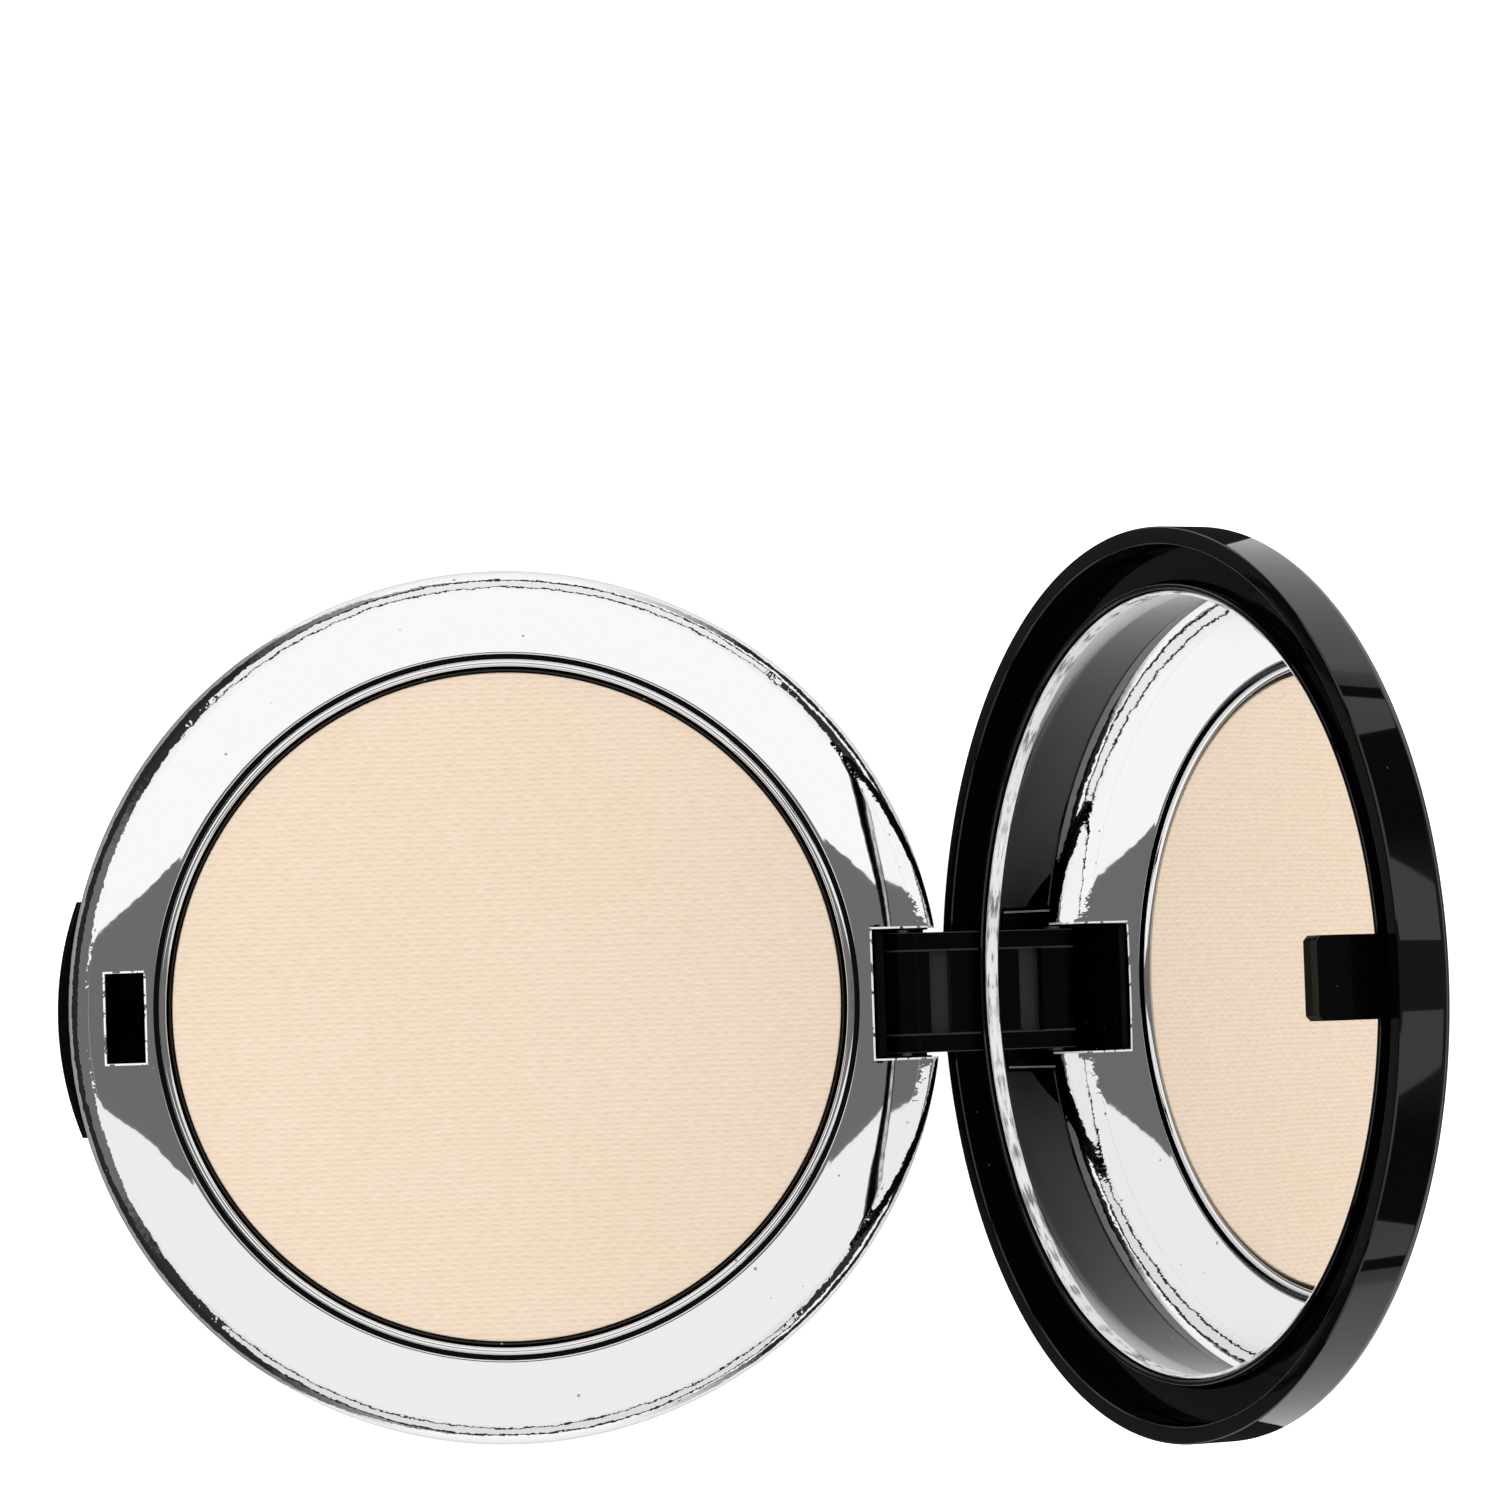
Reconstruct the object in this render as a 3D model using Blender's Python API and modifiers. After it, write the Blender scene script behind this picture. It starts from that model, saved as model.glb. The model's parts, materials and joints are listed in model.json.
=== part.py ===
"""Round pressed-powder compact with a mirror lid, standing open on its flat base.

The frame's origin is the centre of the base's flat underside, +Z up. The hinge is at +Y and
the push button at -Y. The lid is modelled closed and then swung open about the hinge pin.
"""

import math

import bmesh
import bpy
from mathutils import Matrix, Vector

# ---- Driving sizes, in metres and degrees ----
GAP = 0.0003
NEST_GAP = 0.00012
TAPE_GAP = 0.0001

POWDER_RADIUS = 0.0290
POWDER_DEPTH = 0.0047
POWDER_LEVEL = 0.0133
POWDER_EDGE = 0.00015
PAN_WALL = 0.00025
TAPE_THICKNESS = 0.00022
TAPE_RADIUS = 0.0220

LIP_WIDTH = 0.0007
LIP_HEIGHT = 0.00047
LIP_FOOT = 0.0005
DECK_WIDTH = 0.0056
DECK_DROP = 0.00126
SHOULDER_RUN = 0.0019
SHOULDER_FALL = 0.0027
SHOULDER_SKIRT = 0.0005
DECK_WALL = 0.0010
SKIRT_DEPTH = 0.0020

CASE_INSET = 0.0002
CASE_WALL = 0.0011
CASE_FLOOR = 0.0012
CASE_CORNER = 0.0030
CASE_TAPER = 0.0003
RIB_SETBACK = 0.0013
RIB_WALL = 0.0012

OPEN_ANGLE = 111.6
PIN_SETBACK = 0.0032
PIN_DROP = 0.0063
PIN_RADIUS = 0.00075
PIN_CLEARANCE = 0.0001
TONGUE_WIDTH = 0.0106
TONGUE_THICKNESS = 0.0030
TONGUE_RAIL = 0.0016
TONGUE_RECESS = 0.0009
KNUCKLE_RADIUS = 0.0018
CHEEK = 0.0015
BLOCK_WALL = 0.0007
BLOCK_FLOOR = 0.0010
STOP_DEPTH = 0.0029

LID_INSET = 0.0002
LID_TOP_WALL = 0.0010
LID_CORNER = 0.0011
RIM_CLEARANCE = 0.0005
RIM_WIDTH = 0.0015
RIM_EDGE = 0.0002
MOAT_DEPTH = 0.0025
MOAT_WIDTH = 0.0032
FRAME_FLOOR = 0.0006
MIRROR_CLEARANCE = 0.00033
MIRROR_THICKNESS = 0.0011
MIRROR_BEVEL = 0.0004
BEZEL_WIDTH = 0.0005
BEZEL_STAND = 0.0004

SLOT_SETBACK = 0.0007
SLOT_LENGTH = 0.0034
SLOT_WIDTH = 0.0078
SLOT_SIDE_GAP = 0.0006
CATCH_THICKNESS = 0.0014
CATCH_REACH = 0.0055
CATCH_NOSE = 0.0006
CATCH_CHAMFER = 0.0004
NOSE_LEAD = 0.0012
NOSE_LAND = 0.0018
LATCH_BITE = 0.00025
KEEPER_SIDE = 0.0010

BUTTON_WIDTH = 0.0206
BUTTON_BOTTOM = 0.0026
BUTTON_PROUD = 0.0009
BUTTON_END_PROUD = 0.0004
BUTTON_CORNER = 0.0004
BUTTON_EAR = 0.0012
EAR_INSET = 0.0008
POCKET_DEPTH = 0.0003
SPRING_RADIUS = 0.0013
SPRING_WIRE = 0.00035
SPRING_TURNS = 5

STEPS = 72
SMALL_STEPS = 24

# ---- Sizes that follow: base ----
PAN_INNER = POWDER_RADIUS + NEST_GAP
PAN_OUTER = PAN_INNER + PAN_WALL
WELL_RADIUS = PAN_OUTER + NEST_GAP
WELL_OUTER = WELL_RADIUS + DECK_WALL
LIP_OUTER = WELL_RADIUS + LIP_WIDTH
LIP_TOP = POWDER_LEVEL + LIP_HEIGHT
DECK_INNER = LIP_OUTER + LIP_FOOT
DECK_OUTER = DECK_INNER + DECK_WIDTH
BASE_RADIUS = DECK_OUTER + SHOULDER_RUN
PAN_BOTTOM = POWDER_LEVEL - POWDER_DEPTH - NEST_GAP - PAN_WALL
WELL_TOP = PAN_BOTTOM - TAPE_THICKNESS - 2 * TAPE_GAP
WELL_BOTTOM = WELL_TOP - DECK_WALL
CREASE_LEVEL = POWDER_LEVEL - DECK_DROP
WIDEST_LEVEL = CREASE_LEVEL - SHOULDER_FALL
SEAM_LEVEL = WIDEST_LEVEL - SHOULDER_SKIRT
SKIRT_LEVEL = SEAM_LEVEL - SKIRT_DEPTH
CASE_RADIUS = BASE_RADIUS - CASE_INSET
CASE_TOP = SEAM_LEVEL - GAP
CASE_INNER = CASE_RADIUS - CASE_WALL
RIB_RADIUS = WELL_RADIUS - RIB_SETBACK
SKIRT_OUTER = CASE_INNER - GAP
SKIRT_INNER = SKIRT_OUTER - DECK_WALL
NOTCH_TOP = SEAM_LEVEL + GAP / 3

# ---- Sizes that follow: hinge ----
PIN_Y = BASE_RADIUS - PIN_SETBACK
PIN_Z = POWDER_LEVEL - PIN_DROP
CHANNEL = TONGUE_WIDTH / 2 + 2 * NEST_GAP
BLOCK_HALF = CHANNEL + CHEEK
BLOCK_FRONT = PIN_Y - KNUCKLE_RADIUS - GAP - BLOCK_WALL
BLOCK_TOP_FLOOR = PIN_Z - STOP_DEPTH
BLOCK_BOTTOM = BLOCK_TOP_FLOOR - BLOCK_FLOOR
NOTCH_HALF = CHANNEL + NEST_GAP

# ---- Sizes that follow: lid ----
LID_RADIUS = BASE_RADIUS - LID_INSET
RIM_LEVEL = CREASE_LEVEL + RIM_CLEARANCE
RIM_INNER = LID_RADIUS - RIM_WIDTH
MOAT_LEVEL = RIM_LEVEL + MOAT_DEPTH
MIRROR_FACE = LIP_TOP + MIRROR_CLEARANCE
MIRROR_BACK = MIRROR_FACE + MIRROR_THICKNESS
MIRROR_RADIUS = RIM_INNER - MOAT_WIDTH - BEZEL_WIDTH - NEST_GAP
POCKET_RADIUS = MIRROR_RADIUS + NEST_GAP
POCKET_LEVEL = MIRROR_BACK + TAPE_THICKNESS + 2 * TAPE_GAP
FRAME_RADIUS = RIM_INNER - NEST_GAP
FRAME_BACK = POCKET_LEVEL + FRAME_FLOOR
LID_CEILING = FRAME_BACK + GAP
LID_TOP = LID_CEILING + LID_TOP_WALL

# ---- Sizes that follow: latch and button ----
SLOT_RADIUS = DECK_INNER + SLOT_SETBACK
SLOT_OUTER = SLOT_RADIUS + SLOT_LENGTH
CATCH_WIDTH = SLOT_WIDTH - 2 * SLOT_SIDE_GAP
NOSE_OUTER = SLOT_OUTER + LATCH_BITE
CATCH_OUTER = NOSE_OUTER - CATCH_NOSE
CATCH_INNER = CATCH_OUTER - CATCH_THICKNESS
CATCH_TIP = RIM_LEVEL - CATCH_REACH
NOSE_TOP = CATCH_TIP + NOSE_LEAD + NOSE_LAND
KEEPER_LEVEL = NOSE_TOP + GAP
BUTTON_TOP = CASE_TOP - GAP
BUTTON_BACK = SKIRT_INNER
BUTTON_HALF = BUTTON_WIDTH / 2
EAR_HALF = BUTTON_HALF + BUTTON_EAR

# Cutters run past the object on every side.
FAR = 1.25 * BASE_RADIUS
HIGH = 1.5 * LID_TOP


# ---- Small helpers that wrap Blender's own tools ----
def start_scene():
    """Empty the scene and return the collections for the parts and for the cutters."""
    for item in list(bpy.data.objects):
        bpy.data.objects.remove(item, do_unlink=True)
    parts = bpy.data.collections.new("powder_compact")
    cutters = bpy.data.collections.new("cutters")
    cutters.hide_render = True
    for group in (parts, cutters):
        bpy.context.scene.collection.children.link(group)
    return parts, cutters


PARTS, CUTTERS = start_scene()


def finish_material(name, colour, roughness, metallic=0.0):
    """One Principled material."""
    made = bpy.data.materials.new(name)
    made.use_nodes = True
    shader = made.node_tree.nodes["Principled BSDF"]
    shader.inputs["Base Color"].default_value = (*colour, 1.0)
    shader.inputs["Roughness"].default_value = roughness
    shader.inputs["Metallic"].default_value = metallic
    return made


def add_object(name, mesh, material=None):
    """Link a mesh as a part, or as a cutter when it has no material."""
    item = bpy.data.objects.new(name, mesh)
    if material is None:
        CUTTERS.objects.link(item)
        item.hide_render = True
        item.display_type = "WIRE"
    else:
        PARTS.objects.link(item)
        mesh.materials.append(material)
    return item


def turned(name, profile, material=None, steps=STEPS):
    """A profile of (radius, height) points, run down its outer side and turned about Z."""
    mesh = bpy.data.meshes.new(name)
    shape = bmesh.new()
    points = [shape.verts.new((radius, 0.0, height)) for radius, height in profile]
    for first, second in zip(points, points[1:]):
        shape.edges.new((first, second))
    if profile[0][0] > 0.0:
        shape.edges.new((points[-1], points[0]))
    shape.to_mesh(mesh)
    shape.free()
    item = add_object(name, mesh, material)
    screw = item.modifiers.new("turn", "SCREW")
    screw.axis = "Z"
    screw.angle = math.tau
    screw.steps = steps
    screw.render_steps = steps
    screw.use_merge_vertices = True
    screw.merge_threshold = 0.000005
    screw.use_smooth_shade = False
    return item


def box(name, low, high, material=None):
    """A block between two corners."""
    mesh = bpy.data.meshes.new(name)
    shape = bmesh.new()
    size = Vector(high) - Vector(low)
    middle = (Vector(high) + Vector(low)) / 2
    place = Matrix.Translation(middle) @ Matrix.Diagonal((*size, 1.0))
    bmesh.ops.create_cube(shape, size=1.0, matrix=place)
    shape.to_mesh(mesh)
    shape.free()
    return add_object(name, mesh, material)


def rod(name, start, end, radius, material=None, steps=SMALL_STEPS):
    """A round bar between two points."""
    mesh = bpy.data.meshes.new(name)
    shape = bmesh.new()
    run = Vector(end) - Vector(start)
    turn = Vector((0.0, 0.0, 1.0)).rotation_difference(run).to_matrix().to_4x4()
    place = Matrix.Translation((Vector(start) + Vector(end)) / 2) @ turn
    bmesh.ops.create_cone(
        shape, cap_ends=True, segments=steps, radius1=radius, radius2=radius,
        depth=run.length, matrix=place,
    )
    shape.to_mesh(mesh)
    shape.free()
    return add_object(name, mesh, material)


def combine(item, other, operation):
    """A Boolean with a helper object, which is kept among the cutters."""
    step = item.modifiers.new(operation.lower() + "_" + other.name, "BOOLEAN")
    step.operation = operation
    step.solver = "EXACT"
    step.object = other
    return item


def arc(centre, radius, start, end, count):
    """Points along a circular arc, with angles in degrees from +X towards +Z."""
    points = []
    for index in range(count + 1):
        angle = math.radians(start + (end - start) * index / count)
        points.append((centre[0] + radius * math.cos(angle), centre[1] + radius * math.sin(angle)))
    return points


def disc(name, radius, low, high, material=None, steps=STEPS):
    """A plain round plate about Z."""
    return turned(name, [(0.0, high), (radius, high), (radius, low), (0.0, low)], material, steps)


# ---- Base ----
def deck_height(radius):
    """The deck falls outward, ever more steeply, from the lip's foot to the crease."""
    share = (radius - DECK_INNER) / DECK_WIDTH
    return POWDER_LEVEL - DECK_DROP * (0.53 * share + 0.47 * share * share)


def shoulder_arc():
    """The rounded shoulder, from the deck's outer crease to the widest line."""
    radius = (SHOULDER_RUN**2 + SHOULDER_FALL**2) / (2 * SHOULDER_RUN)
    start = math.degrees(math.asin(SHOULDER_FALL / radius))
    return arc((BASE_RADIUS - radius, WIDEST_LEVEL), radius, start, 0.0, 6)


def make_base_case(black):
    """Black moulded cup with a flat underside, the hinge window and the button's opening."""
    inner_corner = CASE_CORNER - CASE_FLOOR
    rib_top = WELL_BOTTOM - GAP
    profile = [(0.0, CASE_FLOOR), (RIB_RADIUS - RIB_WALL, CASE_FLOOR)]
    profile += [(RIB_RADIUS - RIB_WALL, rib_top), (RIB_RADIUS, rib_top), (RIB_RADIUS, CASE_FLOOR)]
    profile += arc((CASE_INNER - inner_corner, CASE_CORNER), inner_corner, -90.0, 0.0, 3)
    profile += [(CASE_INNER, CASE_TOP), (CASE_RADIUS, CASE_TOP)]
    profile += arc((CASE_RADIUS - CASE_TAPER - CASE_CORNER, CASE_CORNER), CASE_CORNER, 0.0, -90.0, 5)
    profile += [(0.0, 0.0)]
    case = turned("base_case", profile, black)
    half = BLOCK_HALF + GAP
    rear = box("hinge_window", (-half, BLOCK_FRONT - GAP, BLOCK_BOTTOM - GAP), (half, FAR, HIGH))
    combine(case, rear, "DIFFERENCE")
    half = BUTTON_HALF + GAP
    front = box("button_window", (-half, -FAR, BUTTON_BOTTOM - GAP), (half, -RIB_RADIUS - GAP, HIGH))
    return combine(case, front, "DIFFERENCE")


def deck_profile():
    """Section of the insert: well, lip, deck, shoulder, locating skirt and their undersides."""
    soft = LIP_WIDTH / 4
    step = LIP_FOOT / 4
    deck = [DECK_INNER + DECK_WIDTH * index / 6 for index in range(6)]
    under = [SKIRT_INNER, SKIRT_INNER - DECK_WALL, WELL_OUTER + DECK_WALL / 2]
    profile = [(0.0, WELL_TOP), (WELL_RADIUS, WELL_TOP), (WELL_RADIUS, LIP_TOP - soft)]
    profile += [(WELL_RADIUS + soft, LIP_TOP), (LIP_OUTER - soft, LIP_TOP), (LIP_OUTER, LIP_TOP - soft)]
    profile += [(LIP_OUTER + step, POWDER_LEVEL + step)]
    profile += [(radius, deck_height(radius)) for radius in deck]
    profile += shoulder_arc()
    profile += [(BASE_RADIUS, SEAM_LEVEL), (SKIRT_OUTER, SEAM_LEVEL), (SKIRT_OUTER, SKIRT_LEVEL)]
    profile += [(SKIRT_INNER, SKIRT_LEVEL)]
    profile += [(radius, deck_height(radius) - DECK_WALL * 1.15) for radius in under]
    profile += [(WELL_OUTER, POWDER_LEVEL - DECK_WALL * 1.5), (WELL_OUTER, WELL_BOTTOM)]
    profile += [(0.0, WELL_BOTTOM)]
    return profile


def make_deck_insert(chrome):
    """Metallised insert, in one piece, with its notches and the latch slot."""
    insert = turned("deck_insert", deck_profile(), chrome)
    front = BLOCK_FRONT - GAP
    low = SKIRT_LEVEL - DECK_WALL
    combine(insert, box("deck_notch", (-NOTCH_HALF, front, low), (NOTCH_HALF, FAR, HIGH)), "DIFFERENCE")
    half = BLOCK_HALF + GAP
    combine(insert, box("skirt_notch", (-half, front, low), (half, FAR, NOTCH_TOP)), "DIFFERENCE")
    half = EAR_HALF + GAP
    inner = WELL_OUTER + GAP
    combine(insert, box("button_notch", (-half, -FAR, low), (half, -inner, NOTCH_TOP)), "DIFFERENCE")
    half = SLOT_WIDTH / 2 + KEEPER_SIDE
    top = deck_height(SKIRT_INNER) - DECK_WALL / 2
    keeper = box("keeper", (-half, -SKIRT_INNER - GAP, KEEPER_LEVEL), (half, -SLOT_RADIUS - GAP, top))
    combine(insert, keeper, "UNION")
    half = SLOT_WIDTH / 2
    slot = box("latch_slot", (-half, -SLOT_OUTER, NOTCH_TOP), (half, -SLOT_RADIUS, HIGH))
    return combine(insert, slot, "DIFFERENCE")


def make_pan(metal):
    """Thin pressed dish that holds the powder."""
    top = POWDER_LEVEL - PAN_WALL / 2
    profile = [(0.0, PAN_BOTTOM + PAN_WALL), (PAN_INNER, PAN_BOTTOM + PAN_WALL), (PAN_INNER, top)]
    profile += [(PAN_OUTER, top), (PAN_OUTER, PAN_BOTTOM), (0.0, PAN_BOTTOM)]
    return turned("powder_pan", profile, metal)


def make_powder(powder):
    """Pressed cake with a barely broken edge."""
    low = POWDER_LEVEL - POWDER_DEPTH
    profile = [(0.0, POWDER_LEVEL), (POWDER_RADIUS - POWDER_EDGE, POWDER_LEVEL)]
    profile += [(POWDER_RADIUS, POWDER_LEVEL - POWDER_EDGE), (POWDER_RADIUS, low), (0.0, low)]
    return turned("pressed_powder", profile, powder)


def make_tape(name, bottom, adhesive):
    """Double-sided adhesive disc."""
    return disc(name, TAPE_RADIUS, bottom, bottom + TAPE_THICKNESS, adhesive, 48)


def make_hinge_block(black):
    """Black channel set in the case's window: two cheeks, a floor and a front wall up to the deck."""
    inside = BLOCK_FRONT + BLOCK_WALL
    low = (-BLOCK_HALF, BLOCK_FRONT, BLOCK_BOTTOM)
    block = box("hinge_block", low, (BLOCK_HALF, BASE_RADIUS, CASE_TOP), black)
    channel = box("block_channel", (-CHANNEL, inside, BLOCK_TOP_FLOOR), (CHANNEL, FAR, HIGH))
    combine(block, channel, "DIFFERENCE")
    half = NOTCH_HALF - GAP
    top = deck_height(BLOCK_FRONT) - GAP / 2
    combine(block, box("block_front", (-half, BLOCK_FRONT, PIN_Z), (half, inside, top)), "UNION")
    combine(block, disc("block_outline", CASE_RADIUS - CASE_TAPER, 0.0, HIGH), "INTERSECT")
    ends = 2 * BLOCK_HALF
    hole = rod("pin_hole", (-ends, PIN_Y, PIN_Z), (ends, PIN_Y, PIN_Z), PIN_RADIUS + PIN_CLEARANCE)
    return combine(block, hole, "DIFFERENCE")


def make_hinge_pin(steel):
    """Plain steel pin through both cheeks and the lid's knuckle."""
    end = BLOCK_HALF - GAP / 2
    return rod("hinge_pin", (-end, PIN_Y, PIN_Z), (end, PIN_Y, PIN_Z), PIN_RADIUS, steel)


def make_key(black):
    """The curved key that is pressed, bowed a little more than the case."""
    front = CASE_RADIUS + BUTTON_PROUD
    bow = front - math.sqrt((CASE_RADIUS + BUTTON_END_PROUD) ** 2 - BUTTON_HALF**2)
    face = (BUTTON_HALF**2 + bow**2) / (2 * bow)
    centre = front - face
    back = BUTTON_BACK - centre
    corner = face - BUTTON_CORNER
    profile = [(back, BUTTON_TOP), (corner, BUTTON_TOP), (face, BUTTON_TOP - BUTTON_CORNER)]
    profile += [(face, BUTTON_BOTTOM + BUTTON_CORNER), (corner, BUTTON_BOTTOM), (back, BUTTON_BOTTOM)]
    key = turned("push_button", profile, black)
    key.location = (0.0, -centre, 0.0)
    sides = box("key_sides", (-BUTTON_HALF, -FAR, 0.0), (BUTTON_HALF, -RIB_RADIUS, HIGH))
    return combine(key, sides, "INTERSECT")


def make_ears():
    """Stop ears behind the case wall, which keep the key from falling out."""
    low = BUTTON_BOTTOM + EAR_INSET
    top = BUTTON_TOP - EAR_INSET
    profile = [(SKIRT_OUTER, top), (SKIRT_OUTER, low), (BUTTON_BACK, low), (BUTTON_BACK, top)]
    ears = turned("ear_ring", profile)
    return combine(ears, box("ear_sides", (-EAR_HALF, -FAR, 0.0), (EAR_HALF, -RIB_RADIUS, HIGH)), "INTERSECT")


def make_push_button(black):
    """Key and stop ears in one moulding, with a pocket in its back for the lid's catch."""
    button = make_key(black)
    combine(button, make_ears(), "UNION")
    half = CATCH_WIDTH / 2 + GAP
    low = CATCH_TIP - GAP
    pocket = box("catch_pocket", (-half, -BUTTON_BACK - POCKET_DEPTH, low), (half, -RIB_RADIUS, HIGH))
    return combine(button, pocket, "DIFFERENCE")


def make_button_spring(steel):
    """Compression spring between the button's back and the case's inner rib."""
    start = -BUTTON_BACK + GAP + SPRING_WIRE / 2
    end = -RIB_RADIUS - GAP - SPRING_WIRE / 2
    level = BUTTON_BOTTOM + SPRING_RADIUS + SPRING_WIRE
    curve = bpy.data.curves.new("button_spring", "CURVE")
    curve.dimensions = "3D"
    curve.bevel_depth = SPRING_WIRE / 2
    curve.bevel_resolution = 1
    curve.use_fill_caps = True
    path = curve.splines.new("POLY")
    count = SPRING_TURNS * 12
    path.points.add(count)
    for index in range(count + 1):
        angle = math.tau * index / 12
        along = start + (end - start) * index / count
        side = SPRING_RADIUS * math.cos(angle)
        path.points[index].co = (side, along, level + SPRING_RADIUS * math.sin(angle), 1.0)
    curve.materials.append(steel)
    item = bpy.data.objects.new("button_spring", curve)
    PARTS.objects.link(item)
    return item


# ---- Lid, modelled closed ----
def make_lid_shell(black):
    """Black outer shell: flat rim, straight wall, rounded back edge and flat back."""
    profile = [(0.0, LID_TOP)]
    profile += arc((LID_RADIUS - LID_CORNER, LID_TOP - LID_CORNER), LID_CORNER, 90.0, 0.0, 4)
    profile += [(LID_RADIUS, RIM_LEVEL + RIM_EDGE), (LID_RADIUS - RIM_EDGE, RIM_LEVEL)]
    profile += [(RIM_INNER + RIM_EDGE, RIM_LEVEL), (RIM_INNER, RIM_LEVEL + RIM_EDGE)]
    profile += [(RIM_INNER, LID_CEILING), (0.0, LID_CEILING)]
    return turned("lid_shell", profile, black)


def make_lid_frame(black):
    """Black inner frame: moat floor, mirror bezel, hinge tongue and catch in one moulding."""
    bezel_outer = POCKET_RADIUS + BEZEL_WIDTH
    bezel_face = MIRROR_FACE - BEZEL_STAND
    soft = BEZEL_WIDTH / 3
    profile = [(0.0, FRAME_BACK), (FRAME_RADIUS, FRAME_BACK), (FRAME_RADIUS, MOAT_LEVEL)]
    profile += [(bezel_outer, MOAT_LEVEL), (bezel_outer, bezel_face + soft)]
    profile += [(bezel_outer - soft, bezel_face), (POCKET_RADIUS, bezel_face)]
    profile += [(POCKET_RADIUS, POCKET_LEVEL), (0.0, POCKET_LEVEL)]
    frame = turned("lid_frame", profile, black)
    combine(frame, make_tongue(), "UNION")
    combine(frame, make_catch(), "UNION")
    ends = TONGUE_WIDTH
    bore = rod("knuckle_bore", (-ends, PIN_Y, PIN_Z), (ends, PIN_Y, PIN_Z), PIN_RADIUS + PIN_CLEARANCE)
    return combine(frame, bore, "DIFFERENCE")


def make_tongue():
    """Hinge tongue: a plate with side rails, rounded about the pin."""
    half = TONGUE_WIDTH / 2
    front = PIN_Y - TONGUE_THICKNESS / 2
    back = PIN_Y + TONGUE_THICKNESS / 2
    tongue = box("tongue", (-half, front, PIN_Z), (half, back, MOAT_LEVEL + RIM_EDGE))
    combine(tongue, disc("tongue_outline", FRAME_RADIUS - NEST_GAP, 0.0, HIGH), "INTERSECT")
    combine(tongue, rod("knuckle", (-half, PIN_Y, PIN_Z), (half, PIN_Y, PIN_Z), KNUCKLE_RADIUS), "UNION")
    half -= TONGUE_RAIL
    low = PIN_Z + KNUCKLE_RADIUS + RIM_EDGE
    inner = front + TONGUE_RECESS
    recess = box("tongue_recess", (-half, front - GAP, low), (half, inner, MOAT_LEVEL - TONGUE_RECESS))
    return combine(tongue, recess, "DIFFERENCE")


def make_catch():
    """Catch that drops through the latch slot and hooks under its outer edge."""
    half = CATCH_WIDTH / 2
    catch = box("catch", (-half, -CATCH_OUTER, CATCH_TIP), (half, -CATCH_INNER, MOAT_LEVEL + RIM_EDGE))
    nose = box("catch_nose", (-half, -NOSE_OUTER, CATCH_TIP), (half, -CATCH_OUTER + GAP, NOSE_TOP))
    combine(catch, nose, "UNION")
    lean = math.atan2(NOSE_LEAD, CATCH_NOSE)
    size = 2 * NOSE_LEAD
    lead = box("nose_lead", (-2 * half, -size, -size), (2 * half, size, 0.0))
    lead.rotation_euler = (-lean, 0.0, 0.0)
    lead.location = (0.0, -CATCH_OUTER, CATCH_TIP)
    combine(catch, lead, "DIFFERENCE")
    size = CATCH_THICKNESS
    reach = half + size * math.sqrt(2.0) - CATCH_CHAMFER
    for side, label in ((-reach, "left"), (reach, "right")):
        corner = box("catch_corner_" + label, (-size, -FAR, -size), (size, 0.0, size))
        corner.rotation_euler = (0.0, math.radians(45.0), 0.0)
        corner.location = (side, 0.0, CATCH_TIP)
        combine(catch, corner, "DIFFERENCE")
    return catch


def make_mirror(silver):
    """Round mirror with a ground bevel round its front edge."""
    profile = [(0.0, MIRROR_BACK), (MIRROR_RADIUS, MIRROR_BACK)]
    profile += [(MIRROR_RADIUS, MIRROR_FACE + MIRROR_BEVEL / 2)]
    profile += [(MIRROR_RADIUS - MIRROR_BEVEL, MIRROR_FACE), (0.0, MIRROR_FACE)]
    return turned("mirror_glass", profile, silver)


def swing_open(pieces):
    """Hang the lid's pieces and cutters on an empty at the pin and turn them to the open stop."""
    hinge = bpy.data.objects.new("lid_hinge", None)
    PARTS.objects.link(hinge)
    hinge.location = (0.0, PIN_Y, PIN_Z)
    for piece in pieces:
        piece.parent = hinge
        piece.matrix_parent_inverse = Matrix.Translation((0.0, -PIN_Y, -PIN_Z))
    hinge.rotation_euler = (-math.radians(OPEN_ANGLE), 0.0, 0.0)


def main():
    black = finish_material("gloss_black", (0.012, 0.012, 0.013), 0.12)
    chrome = finish_material("chrome_plating", (0.86, 0.86, 0.87), 0.06, 1.0)
    metal = finish_material("pan_metal", (0.75, 0.75, 0.76), 0.25, 1.0)
    steel = finish_material("steel", (0.6, 0.6, 0.6), 0.3, 1.0)
    powder = finish_material("powder", (0.87, 0.72, 0.55), 0.9)
    silver = finish_material("mirror_silver", (0.93, 0.93, 0.93), 0.02, 1.0)
    adhesive = finish_material("adhesive_tape", (0.8, 0.79, 0.74), 0.6)
    make_base_case(black)
    make_deck_insert(chrome)
    make_hinge_block(black)
    make_hinge_pin(steel)
    make_pan(metal)
    make_powder(powder)
    make_tape("pan_adhesive", WELL_TOP + TAPE_GAP, adhesive)
    make_push_button(black)
    make_button_spring(steel)
    base = set(bpy.data.objects)
    make_lid_shell(black)
    make_lid_frame(black)
    make_mirror(silver)
    make_tape("mirror_adhesive", MIRROR_BACK + TAPE_GAP, adhesive)
    swing_open([piece for piece in bpy.data.objects if piece not in base])


main()
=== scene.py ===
"""Looks of the powder compact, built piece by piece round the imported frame."""
import json
import math

import bmesh
import bpy
from mathutils import Matrix, Vector


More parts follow.
